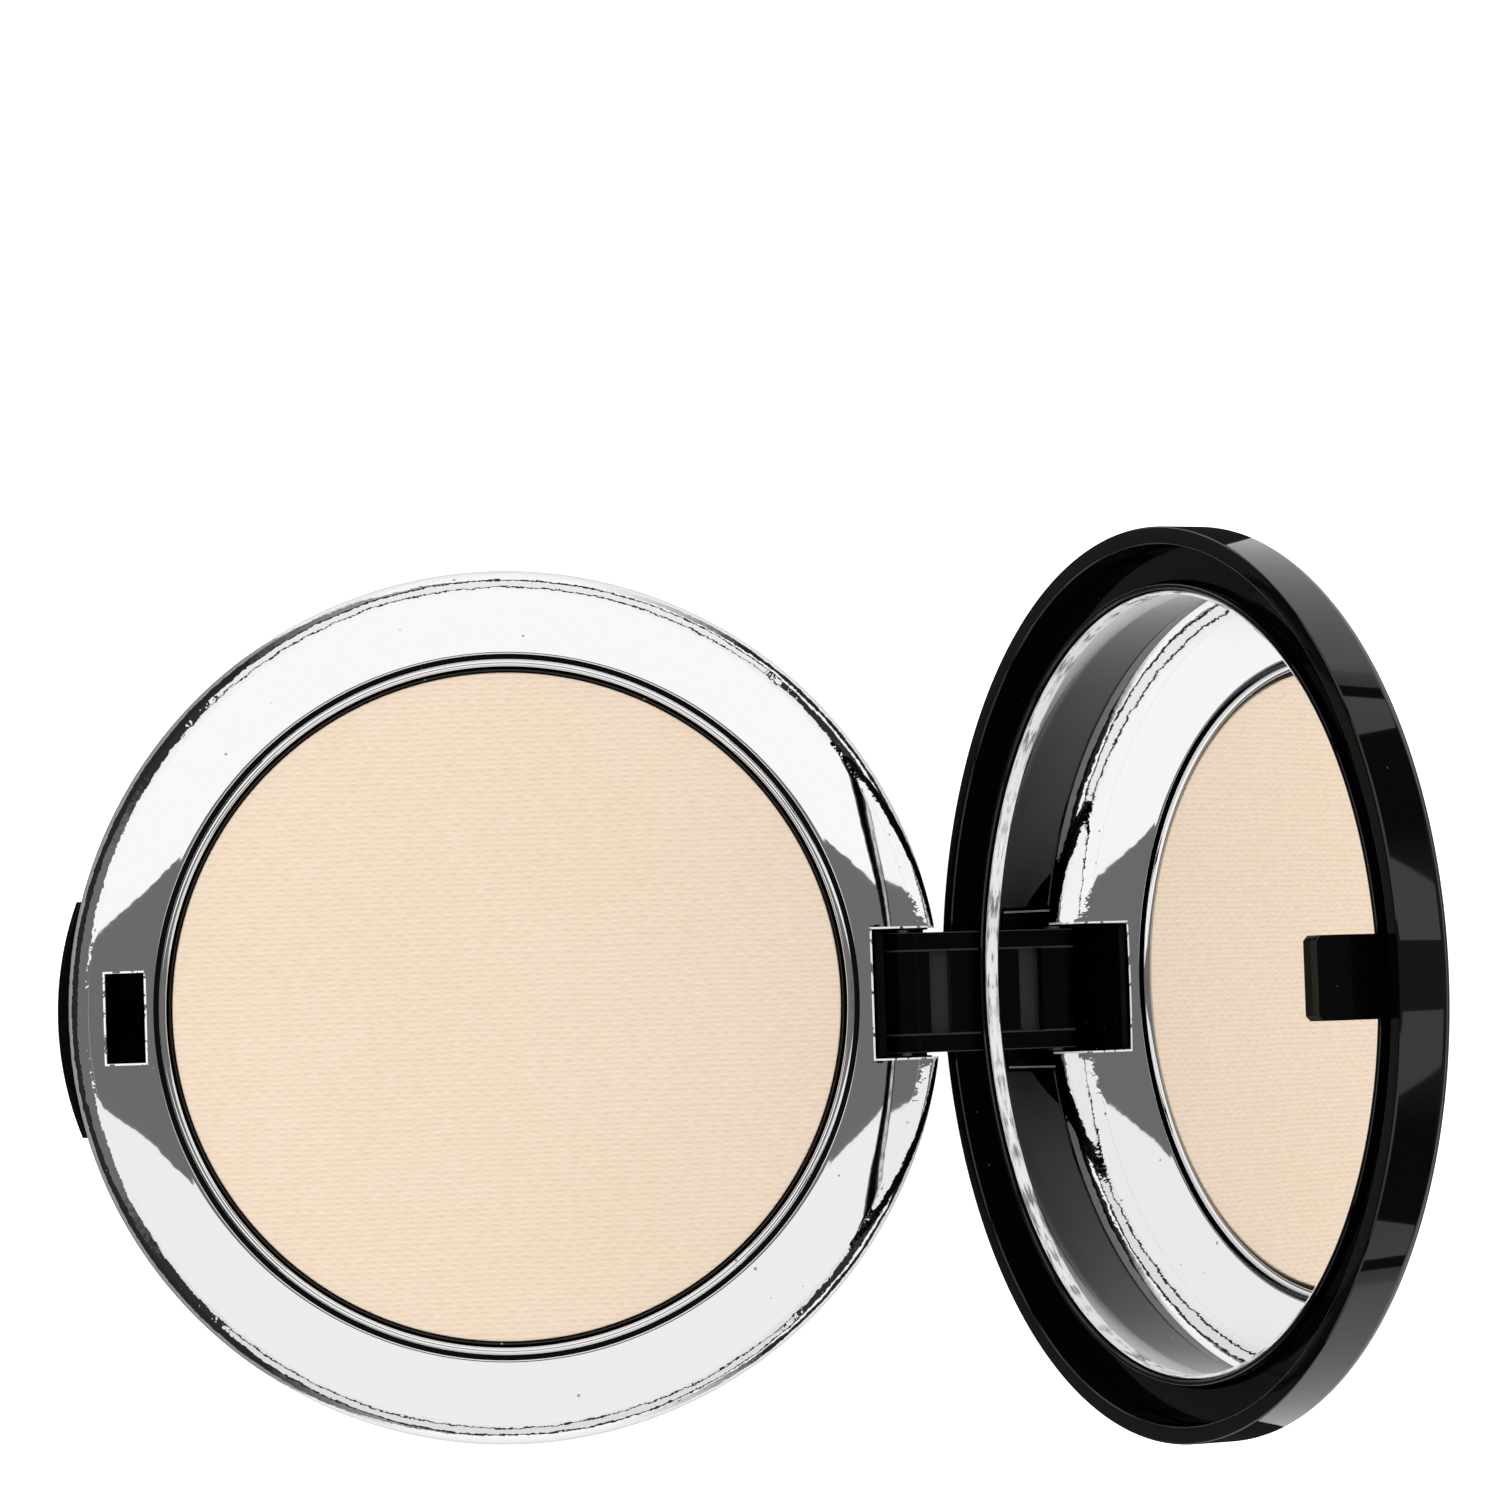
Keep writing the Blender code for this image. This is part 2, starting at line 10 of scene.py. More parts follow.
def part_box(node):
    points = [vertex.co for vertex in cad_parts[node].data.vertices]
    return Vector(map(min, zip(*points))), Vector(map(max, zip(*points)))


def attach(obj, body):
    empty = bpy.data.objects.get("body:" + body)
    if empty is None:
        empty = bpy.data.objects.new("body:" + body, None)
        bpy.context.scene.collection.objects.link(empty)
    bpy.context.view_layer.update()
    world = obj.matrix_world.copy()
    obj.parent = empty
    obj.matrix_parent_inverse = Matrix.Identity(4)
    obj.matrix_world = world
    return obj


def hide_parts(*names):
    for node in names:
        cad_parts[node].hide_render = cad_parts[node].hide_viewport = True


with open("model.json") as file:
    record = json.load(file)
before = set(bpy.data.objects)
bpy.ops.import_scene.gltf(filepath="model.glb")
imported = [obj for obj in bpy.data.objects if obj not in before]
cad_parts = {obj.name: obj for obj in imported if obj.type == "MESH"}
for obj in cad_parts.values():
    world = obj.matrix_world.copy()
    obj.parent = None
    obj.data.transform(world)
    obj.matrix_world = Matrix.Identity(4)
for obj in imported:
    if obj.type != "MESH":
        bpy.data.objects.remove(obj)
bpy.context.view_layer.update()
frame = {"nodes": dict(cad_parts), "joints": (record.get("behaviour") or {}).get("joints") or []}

# ---------------------------------------------------------------------------
# Base case: the black lower cup. Injection-moulded in glossy black plastic with
# a draft angle, a rounded bottom edge and a shallow recess under the foot ring.
# ---------------------------------------------------------------------------
case_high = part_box("base_case")[1]
case_radius = case_high.x
case_top = case_high.z
case_wall = 0.0011
case_floor = 0.0012
case_corner = 0.0030
case_draft = 0.0003
rib_radius = 0.02819
rib_wall = 0.0012
rib_top = 0.00425
press_gap = 0.00012
foot_radius = 0.0305
foot_recess = 0.00025
mould_edge = 0.00015
fine_edge = 0.0001
merge_limit = 0.000002
hair = 0.0001
round_steps = 256


def only(piece):
    """Select one piece and nothing else."""
    bpy.ops.object.select_all(action="DESELECT")
    piece.select_set(True)
    bpy.context.view_layer.objects.active = piece


def arc(centre, radius, start, end, count):
    """Points (radius, height) along a circular arc, with angles in degrees from outward to up."""
    turns = [math.radians(start + (end - start) * index / count) for index in range(count + 1)]
    return [(centre[0] + radius * math.cos(turn), centre[1] + radius * math.sin(turn)) for turn in turns]


def spin_section(name, section, steps=round_steps):
    """Draw a section of (radius, height) points and spin it once round the upright axis."""
    bpy.ops.object.select_all(action="DESELECT")
    radius, height = section[0]
    bpy.ops.mesh.primitive_plane_add(size=case_wall, location=(radius, 0.0, height))
    piece = bpy.context.object
    piece.name = piece.data.name = name
    bpy.ops.object.transform_apply(location=True, rotation=True, scale=True)
    bpy.ops.object.mode_set(mode="EDIT")
    bpy.ops.mesh.select_mode(type="VERT")
    bpy.ops.mesh.merge(type="CENTER")
    for start, end in zip(section, section[1:]):
        step = (end[0] - start[0], 0.0, end[1] - start[1])
        bpy.ops.mesh.extrude_vertices_move(TRANSFORM_OT_translate={"value": step})
    bpy.ops.mesh.select_all(action="SELECT")
    bpy.ops.mesh.spin(steps=steps, angle=math.tau, center=(0.0, 0.0, 0.0), axis=(0.0, 0.0, 1.0))
    bpy.ops.mesh.select_all(action="SELECT")
    bpy.ops.mesh.remove_doubles(threshold=merge_limit)
    bpy.ops.mesh.normals_make_consistent(inside=False)
    bpy.ops.object.mode_set(mode="OBJECT")
    return piece


def block(name, low, high):
    """A square block between two corners."""
    bpy.ops.object.select_all(action="DESELECT")
    size = Vector(high) - Vector(low)
    bpy.ops.mesh.primitive_cube_add(size=1.0, location=(Vector(high) + Vector(low)) / 2, scale=size)
    piece = bpy.context.object
    piece.name = piece.data.name = name
    bpy.ops.object.transform_apply(location=True, rotation=True, scale=True)
    return piece


def join_or_cut(piece, cutter, operation):
    """Cut a piece with another solid, or join the two, and throw the other away."""
    only(piece)
    bpy.ops.object.modifier_add(type="BOOLEAN")
    step = piece.modifiers[-1]
    step.solver = "EXACT"
    step.operation = operation
    step.object = cutter
    bpy.ops.object.modifier_apply(modifier=step.name)
    bpy.data.objects.remove(cutter, do_unlink=True)
    return piece


def soften(piece, width, place, segments=3, sharpest=35.0):
    """Round the sharp edges whose middle is at a given place."""
    only(piece)
    bpy.ops.object.mode_set(mode="EDIT")
    bpy.ops.mesh.select_mode(type="EDGE")
    bpy.ops.mesh.select_all(action="DESELECT")
    mesh = bmesh.from_edit_mesh(piece.data)
    for edge in mesh.edges:
        middle = (edge.verts[0].co + edge.verts[1].co) / 2
        bend = edge.calc_face_angle(0.0)
        edge.select_set(bend > math.radians(sharpest) and place(middle))
    bmesh.update_edit_mesh(piece.data)
    bpy.ops.mesh.bevel(offset=width, segments=segments, profile=0.5, affect="EDGES", clamp_overlap=True)
    bpy.ops.object.mode_set(mode="OBJECT")


def smooth(piece, angle=30.0):
    """Shade round faces smooth and keep the true corners."""
    only(piece)
    bpy.ops.object.shade_smooth_by_angle(angle=math.radians(angle))
    bpy.ops.object.modifier_add(type="WEIGHTED_NORMAL")
    piece.modifiers[-1].keep_sharp = True
    bpy.ops.object.modifier_apply(modifier=piece.modifiers[-1].name)


def new_material(name):
    """A material, with its links, its shader and the place of each point on the piece."""
    made = bpy.data.materials.new(name)
    made.use_nodes = True
    nodes = made.node_tree.nodes
    place = nodes.new("ShaderNodeTexCoord")
    return made, made.node_tree.links, nodes["Principled BSDF"], place.outputs["Object"]


def new_group(name, inputs, outputs):
    """A shader node group with named sockets; each is (kind, name, default)."""
    made = bpy.data.node_groups.new(name, "ShaderNodeTree")
    for kind, label, value in inputs:
        socket = made.interface.new_socket(label, in_out="INPUT", socket_type=kind)
        if value is not None:
            socket.default_value = value
    for kind, label in outputs:
        made.interface.new_socket(label, in_out="OUTPUT", socket_type=kind)
    return made, made.nodes.new("NodeGroupInput"), made.nodes.new("NodeGroupOutput")


def calc(operation, first, second=None, clamp=False):
    """A Math node fed by sockets or plain numbers, in the tree that its sockets belong to."""
    tree = (second if isinstance(first, (int, float)) else first).id_data
    made = tree.nodes.new("ShaderNodeMath")
    made.operation = operation
    made.use_clamp = clamp
    for socket, value in zip(made.inputs, (first, second)):
        if isinstance(value, (int, float)):
            socket.default_value = value
        elif value is not None:
            tree.links.new(value, socket)
    return made.outputs[0]


def blend(factor, first, second):
    """A colour between two others, each given as a socket or a plain colour."""
    tree = factor.id_data
    made = tree.nodes.new("ShaderNodeMix")
    made.data_type = "RGBA"
    tree.links.new(factor, made.inputs["Factor"])
    for label, value in (("A", first), ("B", second)):
        if isinstance(value, tuple):
            made.inputs[label].default_value = value
        else:
            tree.links.new(value, made.inputs[label])
    return made.outputs["Result"]


def noise(vector, scale, detail=2.0, roughness=0.5):
    """Cloudy noise from 0 to 1, its scale given as a number or a socket."""
    tree = vector.id_data
    made = tree.nodes.new("ShaderNodeTexNoise")
    if isinstance(scale, (int, float)):
        made.inputs["Scale"].default_value = scale
    else:
        tree.links.new(scale, made.inputs["Scale"])
    made.inputs["Detail"].default_value = detail
    made.inputs["Roughness"].default_value = roughness
    tree.links.new(vector, made.inputs["Vector"])
    return made.outputs["Fac"]


def emboss(shader, height, strength, depth):
    """Raise the surface by a height map."""
    tree = height.id_data
    made = tree.nodes.new("ShaderNodeBump")
    made.inputs["Strength"].default_value = strength
    made.inputs["Distance"].default_value = depth
    tree.links.new(height, made.inputs["Height"])
    tree.links.new(made.outputs["Normal"], shader.inputs["Normal"])


def within(value, middle, reach):
    """A mask where a value lies less than a given reach from its middle."""
    off = calc("ABSOLUTE", calc("SUBTRACT", value, middle))
    return calc("LESS_THAN", off, reach)


def fade(value, start, end, low=0.0, high=1.0):
    """A value that runs from low to high while another runs from start to end."""
    tree = value.id_data
    made = tree.nodes.new("ShaderNodeMapRange")
    for label, number in (("From Min", start), ("From Max", end), ("To Min", low), ("To Max", high)):
        made.inputs[label].default_value = number
    tree.links.new(value, made.inputs["Value"])
    return made.outputs["Result"]


def make_dust():
    """Dust group: sparse round specks of uneven size, out as a mask from 0 to 1."""
    group, inside, outside = new_group(
        "dust_specks",
        [("NodeSocketVector", "Vector", None), ("NodeSocketFloat", "Scale", 1500.0),
         ("NodeSocketFloat", "Amount", 0.05), ("NodeSocketFloat", "Size", 0.22)],
        [("NodeSocketFloat", "Specks")],
    )
    nodes, links = group.nodes, group.links
    cells = nodes.new("ShaderNodeTexVoronoi")
    links.new(inside.outputs["Vector"], cells.inputs["Vector"])
    links.new(inside.outputs["Scale"], cells.inputs["Scale"])
    pick = nodes.new("ShaderNodeSeparateColor")
    links.new(cells.outputs["Color"], pick.inputs["Color"])
    chosen = calc("LESS_THAN", pick.outputs["Red"], inside.outputs["Amount"])
    size = calc("MULTIPLY", pick.outputs["Green"], inside.outputs["Size"])
    near = calc("LESS_THAN", cells.outputs["Distance"], size)
    links.new(calc("MULTIPLY", chosen, near), outside.inputs["Specks"])
    return group


def make_handling():
    """Handling group: faint smudges and hairline scratches, out as a mask from 0 to 1."""
    group, inside, outside = new_group(
        "handling_marks",
        [("NodeSocketVector", "Vector", None), ("NodeSocketFloat", "Smudge scale", 120.0),
         ("NodeSocketFloat", "Scratch scale", 900.0)],
        [("NodeSocketFloat", "Smudges"), ("NodeSocketFloat", "Scratches")],
    )
    nodes, links = group.nodes, group.links
    smudge = noise(inside.outputs["Vector"], inside.outputs["Smudge scale"], detail=3.0)
    links.new(smudge, outside.inputs["Smudges"])
    bend = nodes.new("ShaderNodeTexNoise")
    bend.inputs["Detail"].default_value = 1.0
    links.new(inside.outputs["Vector"], bend.inputs["Vector"])
    links.new(inside.outputs["Smudge scale"], bend.inputs["Scale"])
    mixed = nodes.new("ShaderNodeVectorMath")
    mixed.operation = "MULTIPLY_ADD"
    mixed.inputs[1].default_value = (0.004, 0.004, 0.004)
    links.new(bend.outputs["Color"], mixed.inputs[0])
    links.new(inside.outputs["Vector"], mixed.inputs[2])
    cells = nodes.new("ShaderNodeTexVoronoi")
    cells.feature = "DISTANCE_TO_EDGE"
    links.new(mixed.outputs["Vector"], cells.inputs["Vector"])
    links.new(inside.outputs["Scratch scale"], cells.inputs["Scale"])
    scratch_width, worn_from = 0.012, 0.56
    line = calc("LESS_THAN", cells.outputs["Distance"], scratch_width)
    patch = calc("GREATER_THAN", smudge, worn_from)
    links.new(calc("MULTIPLY", line, patch), outside.inputs["Scratches"])
    return group


def make_moulded_skin():
    """Moulded skin group: the slow waviness of moulded or plated plastic, out as a height."""
    group, inside, outside = new_group(
        "moulded_skin",
        [("NodeSocketVector", "Vector", None), ("NodeSocketFloat", "Wave scale", 150.0),
         ("NodeSocketFloat", "Grain scale", 1400.0), ("NodeSocketFloat", "Grain", 0.1)],
        [("NodeSocketFloat", "Height")],
    )
    nodes, links = group.nodes, group.links
    wave = nodes.new("ShaderNodeTexNoise")
    wave.inputs["Detail"].default_value = 1.0
    grain = nodes.new("ShaderNodeTexNoise")
    grain.inputs["Detail"].default_value = 2.0
    for texture, label in ((wave, "Wave scale"), (grain, "Grain scale")):
        links.new(inside.outputs["Vector"], texture.inputs["Vector"])
        links.new(inside.outputs[label], texture.inputs["Scale"])
    fine = calc("MULTIPLY", grain.outputs["Fac"], inside.outputs["Grain"])
    links.new(calc("ADD", wave.outputs["Fac"], fine), outside.inputs["Height"])
    return group


dust_specks = make_dust()
handling_marks = make_handling()
moulded_skin = make_moulded_skin()


def place_group(group, vector, **values):
    """Put a node group in a material, with its own values."""
    tree = vector.id_data
    made = tree.nodes.new("ShaderNodeGroup")
    made.node_tree = group
    tree.links.new(vector, made.inputs["Vector"])
    for label, value in values.items():
        made.inputs[label.replace("_", " ")].default_value = value
    return made


def split_up(vector):
    """The X, Y and Z of a vector, as sockets."""
    tree = vector.id_data
    made = tree.nodes.new("ShaderNodeSeparateXYZ")
    tree.links.new(vector, made.inputs["Vector"])
    return made.outputs


def square_radius(vector):
    """Distance from the upright axis."""
    split = split_up(vector)
    across = calc("POWER", split["X"], 2.0)
    along = calc("POWER", split["Y"], 2.0)
    return calc("SQRT", calc("ADD", across, along))


def black_plastic(name, gloss=0.07, skin=0.25, dust=0.035, polish=1.0):
    """Polished black plastic: near black, glossy, faintly wavy, with dust and light handling marks."""
    made, links, shader, place = new_material(name)
    specks = place_group(dust_specks, place, Scale=1300.0, Amount=dust, Size=0.16)
    marks = place_group(handling_marks, place, Smudge_scale=95.0, Scratch_scale=520.0)
    wave = place_group(moulded_skin, place, Wave_scale=130.0, Grain_scale=1800.0, Grain=0.04)
    black, dust_grey = (0.0015, 0.0015, 0.0016, 1.0), (0.06, 0.06, 0.058, 1.0)
    tint = blend(specks.outputs["Specks"], black, dust_grey)
    links.new(tint, shader.inputs["Base Color"])
    dull = calc("MULTIPLY", marks.outputs["Smudges"], 0.05)
    worn = calc("MULTIPLY", marks.outputs["Scratches"], 0.05)
    rough = calc("ADD", calc("ADD", dull, worn), gloss - 0.025)
    rough = calc("ADD", rough, specks.outputs["Specks"], clamp=True)
    links.new(rough, shader.inputs["Roughness"])
    emboss(shader, wave.outputs["Height"], skin, 0.0001)
    shader.inputs["IOR"].default_value = 1.1
    shader.inputs["Coat Weight"].default_value = polish
    shader.inputs["Coat Roughness"].default_value = 0.03
    return made


def polish_rings(made, rings, placed=None):
    """Polish a black piece only in rings, each between an inner and an outer radius."""
    nodes = made.node_tree.nodes
    vector = nodes["Texture Coordinate"].outputs["Object"]
    if placed is not None:
        vector = placed(vector)
    radius = square_radius(vector)
    total = None
    for inner, outer in rings:
        ring = within(radius, (inner + outer) / 2, (outer - inner) / 2)
        total = ring if total is None else calc("MAXIMUM", total, ring)
    made.node_tree.links.new(total, nodes["Principled BSDF"].inputs["Coat Weight"])
    return made


hinge_low, hinge_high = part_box("hinge_block")
button_low, button_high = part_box("push_button")
fit_gap = 0.0003
far = 2.0 * case_radius

inner_corner = case_corner - case_floor
foot_slope = 2.0 * foot_recess
case_section = [(0.0, case_floor), (rib_radius - rib_wall, case_floor), (rib_radius - rib_wall, rib_top)]
case_section += [(rib_radius, rib_top), (rib_radius, case_floor)]
case_section += arc((case_radius - case_wall - inner_corner, case_corner), inner_corner, -90.0, 0.0, 6)
case_inside = case_radius - case_wall
case_section += [(case_inside, case_top - mould_edge), (case_inside + mould_edge, case_top)]
case_section += arc((case_radius - mould_edge, case_top - mould_edge), mould_edge, 90.0, 0.0, 3)
case_section += arc((case_radius - case_draft - case_corner, case_corner), case_corner, 0.0, -90.0, 14)
case_section += [(foot_radius, 0.0), (foot_radius - foot_slope, foot_recess), (0.0, foot_recess)]
case = spin_section("base_case_moulding", case_section)
half = hinge_high.x + fit_gap
rear_window = block("rear_window", (-half, hinge_low.y - fit_gap, hinge_low.z - fit_gap), (half, far, far))
join_or_cut(case, rear_window, "DIFFERENCE")
button_half = 0.0103
half = button_half + fit_gap
window_low = (-half, -far, button_low.z - fit_gap)
front_window = block("front_window", window_low, (half, -rib_radius - fit_gap, far))
join_or_cut(case, front_window, "DIFFERENCE")
smooth(case)
case.data.materials.append(polish_rings(black_plastic("case_black"), [(case_radius - case_wall / 2, far)]))
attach(case, "base")
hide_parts("base_case")

# ---------------------------------------------------------------------------
# Deck insert: one moulding in bright-plated plastic that snaps into the case.
# It holds the pan's well, the rounded lip, a narrow moat and the sloping deck.
# ---------------------------------------------------------------------------
insert_low, insert_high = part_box("deck_insert")
pan_low, pan_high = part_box("powder_pan")
powder_low, powder_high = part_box("pressed_powder")
deck_wall = 0.0010
well_radius = pan_high.x + press_gap
well_outer = well_radius + deck_wall
pan_tape = 0.00042
well_margin = 0.00004
well_top = pan_low.z - pan_tape
well_bottom = insert_low.z
powder_level = powder_high.z
lip_width = 0.0007
lip_top = insert_high.z
lip_outer = well_radius + lip_width
moat_width = 0.00042
moat_depth = 0.0006
deck_inner = lip_outer + 0.0005
brink = 0.00013
opening_band = 0.0008
deck_width = 0.0056
deck_drop = 0.00126
deck_slope = 0.53
deck_bow = 0.47
shoulder_run = 0.0019
shoulder_fall = 0.0027
base_radius = insert_high.x
deck_outer = base_radius - shoulder_run
crease_level = powder_level - deck_drop
widest_level = crease_level - shoulder_fall
edge_band = 0.0005
seam_level = widest_level - edge_band
skirt_outer = case_radius - case_wall - fit_gap
skirt_inner = skirt_outer - deck_wall
skirt_depth = 0.0020
skirt_level = seam_level - skirt_depth
seam_shade = 0.0006
seam_darkness = 0.85
edge_width = 0.00017
notch_half = 0.00566
notch_front = hinge_low.y - fit_gap
slot_setback = 0.0007
slot_length = 0.0034
slot_inner = deck_inner + slot_setback
slot_outer = slot_inner + slot_length
slot_half = 0.0039


def deck_height(radius):
    """The deck falls outward, ever more steeply, from the lip's foot to the crease."""
    share = (radius - deck_inner) / deck_width
    return powder_level - deck_drop * (deck_slope * share + deck_bow * share * share)


def shoulder(count):
    """The rounded shoulder from the crease to the widest line, with its lower edge turned in."""
    radius = (shoulder_run**2 + shoulder_fall**2) / (2 * shoulder_run)
    start = math.degrees(math.asin(shoulder_fall / radius))
    return arc((base_radius - radius, widest_level), radius, start, 0.0, count)


def plated_chrome(name):
    """Bright plating, a little wavy, with pinholes, painted shade in the moat, at the well and along the
    seam, and painted highlights along the edges of its openings.
    """
    made, links, shader, place = new_material(name)
    specks = place_group(dust_specks, place, Scale=1150.0, Amount=0.05, Size=0.2)
    marks = place_group(handling_marks, place, Smudge_scale=110.0, Scratch_scale=700.0)
    wave = place_group(moulded_skin, place, Wave_scale=105.0, Grain_scale=420.0, Grain=0.06)
    radius = square_radius(place)
    split = split_up(place)
    # Painted shade: the narrow moat and the well's edge are coloured near black where shade falls between
    # the parts.
    in_moat = within(radius, lip_outer + moat_width / 2, moat_width / 2)
    in_well = calc("LESS_THAN", radius, well_radius + well_margin)
    # Painted shade: just above the widest line, outside the deck, the plating is darkened for the shade at
    # the seam.
    painted_seam_shade = calc("LESS_THAN", split["Z"], widest_level + seam_shade)
    outside = calc("GREATER_THAN", radius, deck_outer)
    painted_seam_shade = calc("MULTIPLY", calc("MULTIPLY", painted_seam_shade, outside), seam_darkness)
    shaded = calc("MAXIMUM", calc("MAXIMUM", in_moat, in_well), painted_seam_shade)
    # The near-black colour mixed in here is painted shade.
    tint = blend(shaded, (0.93, 0.93, 0.935, 1.0), (0.03, 0.03, 0.032, 1.0))
    pitted = blend(specks.outputs["Specks"], tint, (0.45, 0.45, 0.45, 1.0))
    # Painted highlights: thin pale, non-metallic lines along the upper edges of the latch slot and the hinge
    # notch, broken here and there by noise.
    slot_middle = -(slot_inner + slot_outer) / 2
    notch_reach = (far - notch_front) / 2
    edges = []
    for half_wide, middle, half_long in ((slot_half, slot_middle, (slot_outer - slot_inner) / 2),
                                         (notch_half, notch_front + notch_reach, notch_reach)):
        beside = calc("ABSOLUTE", split["X"])
        beside = calc("SUBTRACT", beside, half_wide)
        before = calc("ABSOLUTE", calc("SUBTRACT", split["Y"], middle))
        before = calc("SUBTRACT", before, half_long)
        outside_by = calc("MAXIMUM", beside, before)
        edges.append(within(outside_by, edge_width / 2, edge_width / 2))
    highlight_gaps = noise(place, 1400.0)
    broken_share = 0.42
    whole = calc("GREATER_THAN", highlight_gaps, broken_share)
    edge_highlight_and_ground = calc("MULTIPLY", calc("MAXIMUM", edges[0], edges[1]), whole)
    edged = blend(edge_highlight_and_ground, pitted, (0.9, 0.9, 0.9, 1.0))
    links.new(edged, shader.inputs["Base Color"])
    links.new(calc("SUBTRACT", 1.0, edge_highlight_and_ground), shader.inputs["Metallic"])
    dull = calc("MULTIPLY", marks.outputs["Smudges"], 0.03)
    rough = calc("ADD", dull, 0.015)
    pinholes = calc("MULTIPLY", specks.outputs["Specks"], 0.4)
    links.new(calc("MAXIMUM", rough, pinholes), shader.inputs["Roughness"])
    pits = calc("MULTIPLY", specks.outputs["Specks"], 0.15)
    height = calc("ADD", wave.outputs["Height"], pits)
    ragged = noise(place, 650.0, detail=3.0)
    ragged_share = 1.1
    ragged_height = calc("MULTIPLY", ragged, ragged_share)
    height = calc("ADD", height, calc("MULTIPLY", ragged_height, outside))
    emboss(shader, height, 0.7, 0.0001)
    return made


lip_round = lip_width / 2
insert_section = [(0.0, well_top), (well_radius, well_top)]
insert_section += arc((well_radius + lip_round, lip_top - lip_round), lip_round, 180.0, 0.0, 16)
insert_section += [(lip_outer, deck_height(deck_inner) - moat_depth)]
insert_section += [(lip_outer + moat_width, deck_height(deck_inner) - moat_depth)]
insert_section += arc((deck_inner + hair / 2, deck_height(deck_inner) - brink), brink, 180.0, 90.0, 4)
deck_steps = 20
insert_section += [(radius, deck_height(radius)) for radius in
                   (deck_inner + deck_width * index / deck_steps for index in range(1, deck_steps))]
insert_section += shoulder(20)
insert_section += [(base_radius, seam_level + fine_edge), (base_radius - fine_edge, seam_level)]
insert_section += [(skirt_outer, seam_level)]
insert_section += [(skirt_outer, skirt_level), (skirt_inner, skirt_level)]
deck_under, well_joint = deck_wall * 1.15, deck_wall * 1.6
insert_section += [(radius, deck_height(radius) - deck_under)
                   for radius in (skirt_inner, skirt_inner - deck_wall, well_outer + deck_wall / 2)]
insert_section += [(well_outer, powder_level - well_joint), (well_outer, well_bottom), (0.0, well_bottom)]
insert = spin_section("deck_insert_plated", insert_section)

skirt_cut = skirt_level - deck_wall
skirt_notch_top = seam_level + fit_gap / 3
half = hinge_high.x + fit_gap
key_half = button_high.x + fit_gap
openings = [("deck_notch", (-notch_half, notch_front, skirt_cut), (notch_half, far, far))]
openings += [("skirt_notch", (-half, notch_front, skirt_cut), (half, far, skirt_notch_top))]
openings += [("key_notch", (-key_half, -far, skirt_cut), (key_half, -well_outer - fit_gap, skirt_notch_top))]
openings += [("latch_slot", (-slot_half, -slot_outer, skirt_notch_top), (slot_half, -slot_inner, far))]
for label, low, high in openings:
    join_or_cut(insert, block(label, low, high), "DIFFERENCE")


def around_openings(point):
    """On the upper edges of the latch slot and of the hinge notch."""
    if point.z < crease_level - opening_band:
        return False
    in_slot = abs(point.x) < slot_half + hair and -slot_outer - hair < point.y < -slot_inner + hair
    in_notch = abs(point.x) < notch_half + hair and point.y > notch_front - hair
    return in_slot or in_notch


soften(insert, brink, around_openings)
smooth(insert)
insert.data.materials.append(plated_chrome("insert_plating"))
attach(insert, "base")
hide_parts("deck_insert")

# ---------------------------------------------------------------------------
# Hinge block: a black moulded channel pressed into the rear window of the case.
# Its two cheeks carry the pin and its front wall comes up level with the deck.
# ---------------------------------------------------------------------------
hinge = next(joint for joint in frame["joints"] if joint["name"] == "lid_hinge")
pin = Vector(hinge["pos_m"])
open_angle = math.radians(hinge["range_deg"][1])
channel_half = 0.00554
block_wall = 0.0007
block_floor = 0.0010
bore_radius = 0.00085


def black_grained(name):
    """Unpolished black moulding with a fine spark grain, for the hinge's parts and the catch."""
    made, links, shader, place = new_material(name)
    wave = place_group(moulded_skin, place, Wave_scale=420.0, Grain_scale=3200.0, Grain=0.9)
    specks = place_group(dust_specks, place, Scale=1600.0, Amount=0.08, Size=0.2)
    black, dust_grey = (0.0012, 0.0012, 0.0013, 1.0), (0.03, 0.03, 0.03, 1.0)
    tint = blend(specks.outputs["Specks"], black, dust_grey)
    links.new(tint, shader.inputs["Base Color"])
    rough = calc("MULTIPLY", wave.outputs["Height"], 0.12)
    links.new(calc("ADD", rough, 0.1), shader.inputs["Roughness"])
    emboss(shader, wave.outputs["Height"], 0.35, 0.00006)
    shader.inputs["IOR"].default_value = 1.2
    return made


def paint_highlight(made, mask, colour):
    """Lay a lighter tone over part of a finished material, as a painted highlight."""
    colour_in = made.node_tree.nodes["Principled BSDF"].inputs["Base Color"]
    mixed = blend(mask, colour_in.links[0].from_socket, colour)
    made.node_tree.links.new(mixed, colour_in)


def rod(name, start, end, radius, steps=64):
    """A round bar between two points on a line along X."""
    bpy.ops.object.select_all(action="DESELECT")
    middle = (Vector(start) + Vector(end)) / 2
    length = (Vector(end) - Vector(start)).length
    bpy.ops.mesh.primitive_cylinder_add(
        vertices=steps, radius=radius, depth=length, location=middle, rotation=(0.0, math.pi / 2, 0.0))
    piece = bpy.context.object
    piece.name = piece.data.name = name
    bpy.ops.object.transform_apply(location=True, rotation=True, scale=True)
    return piece


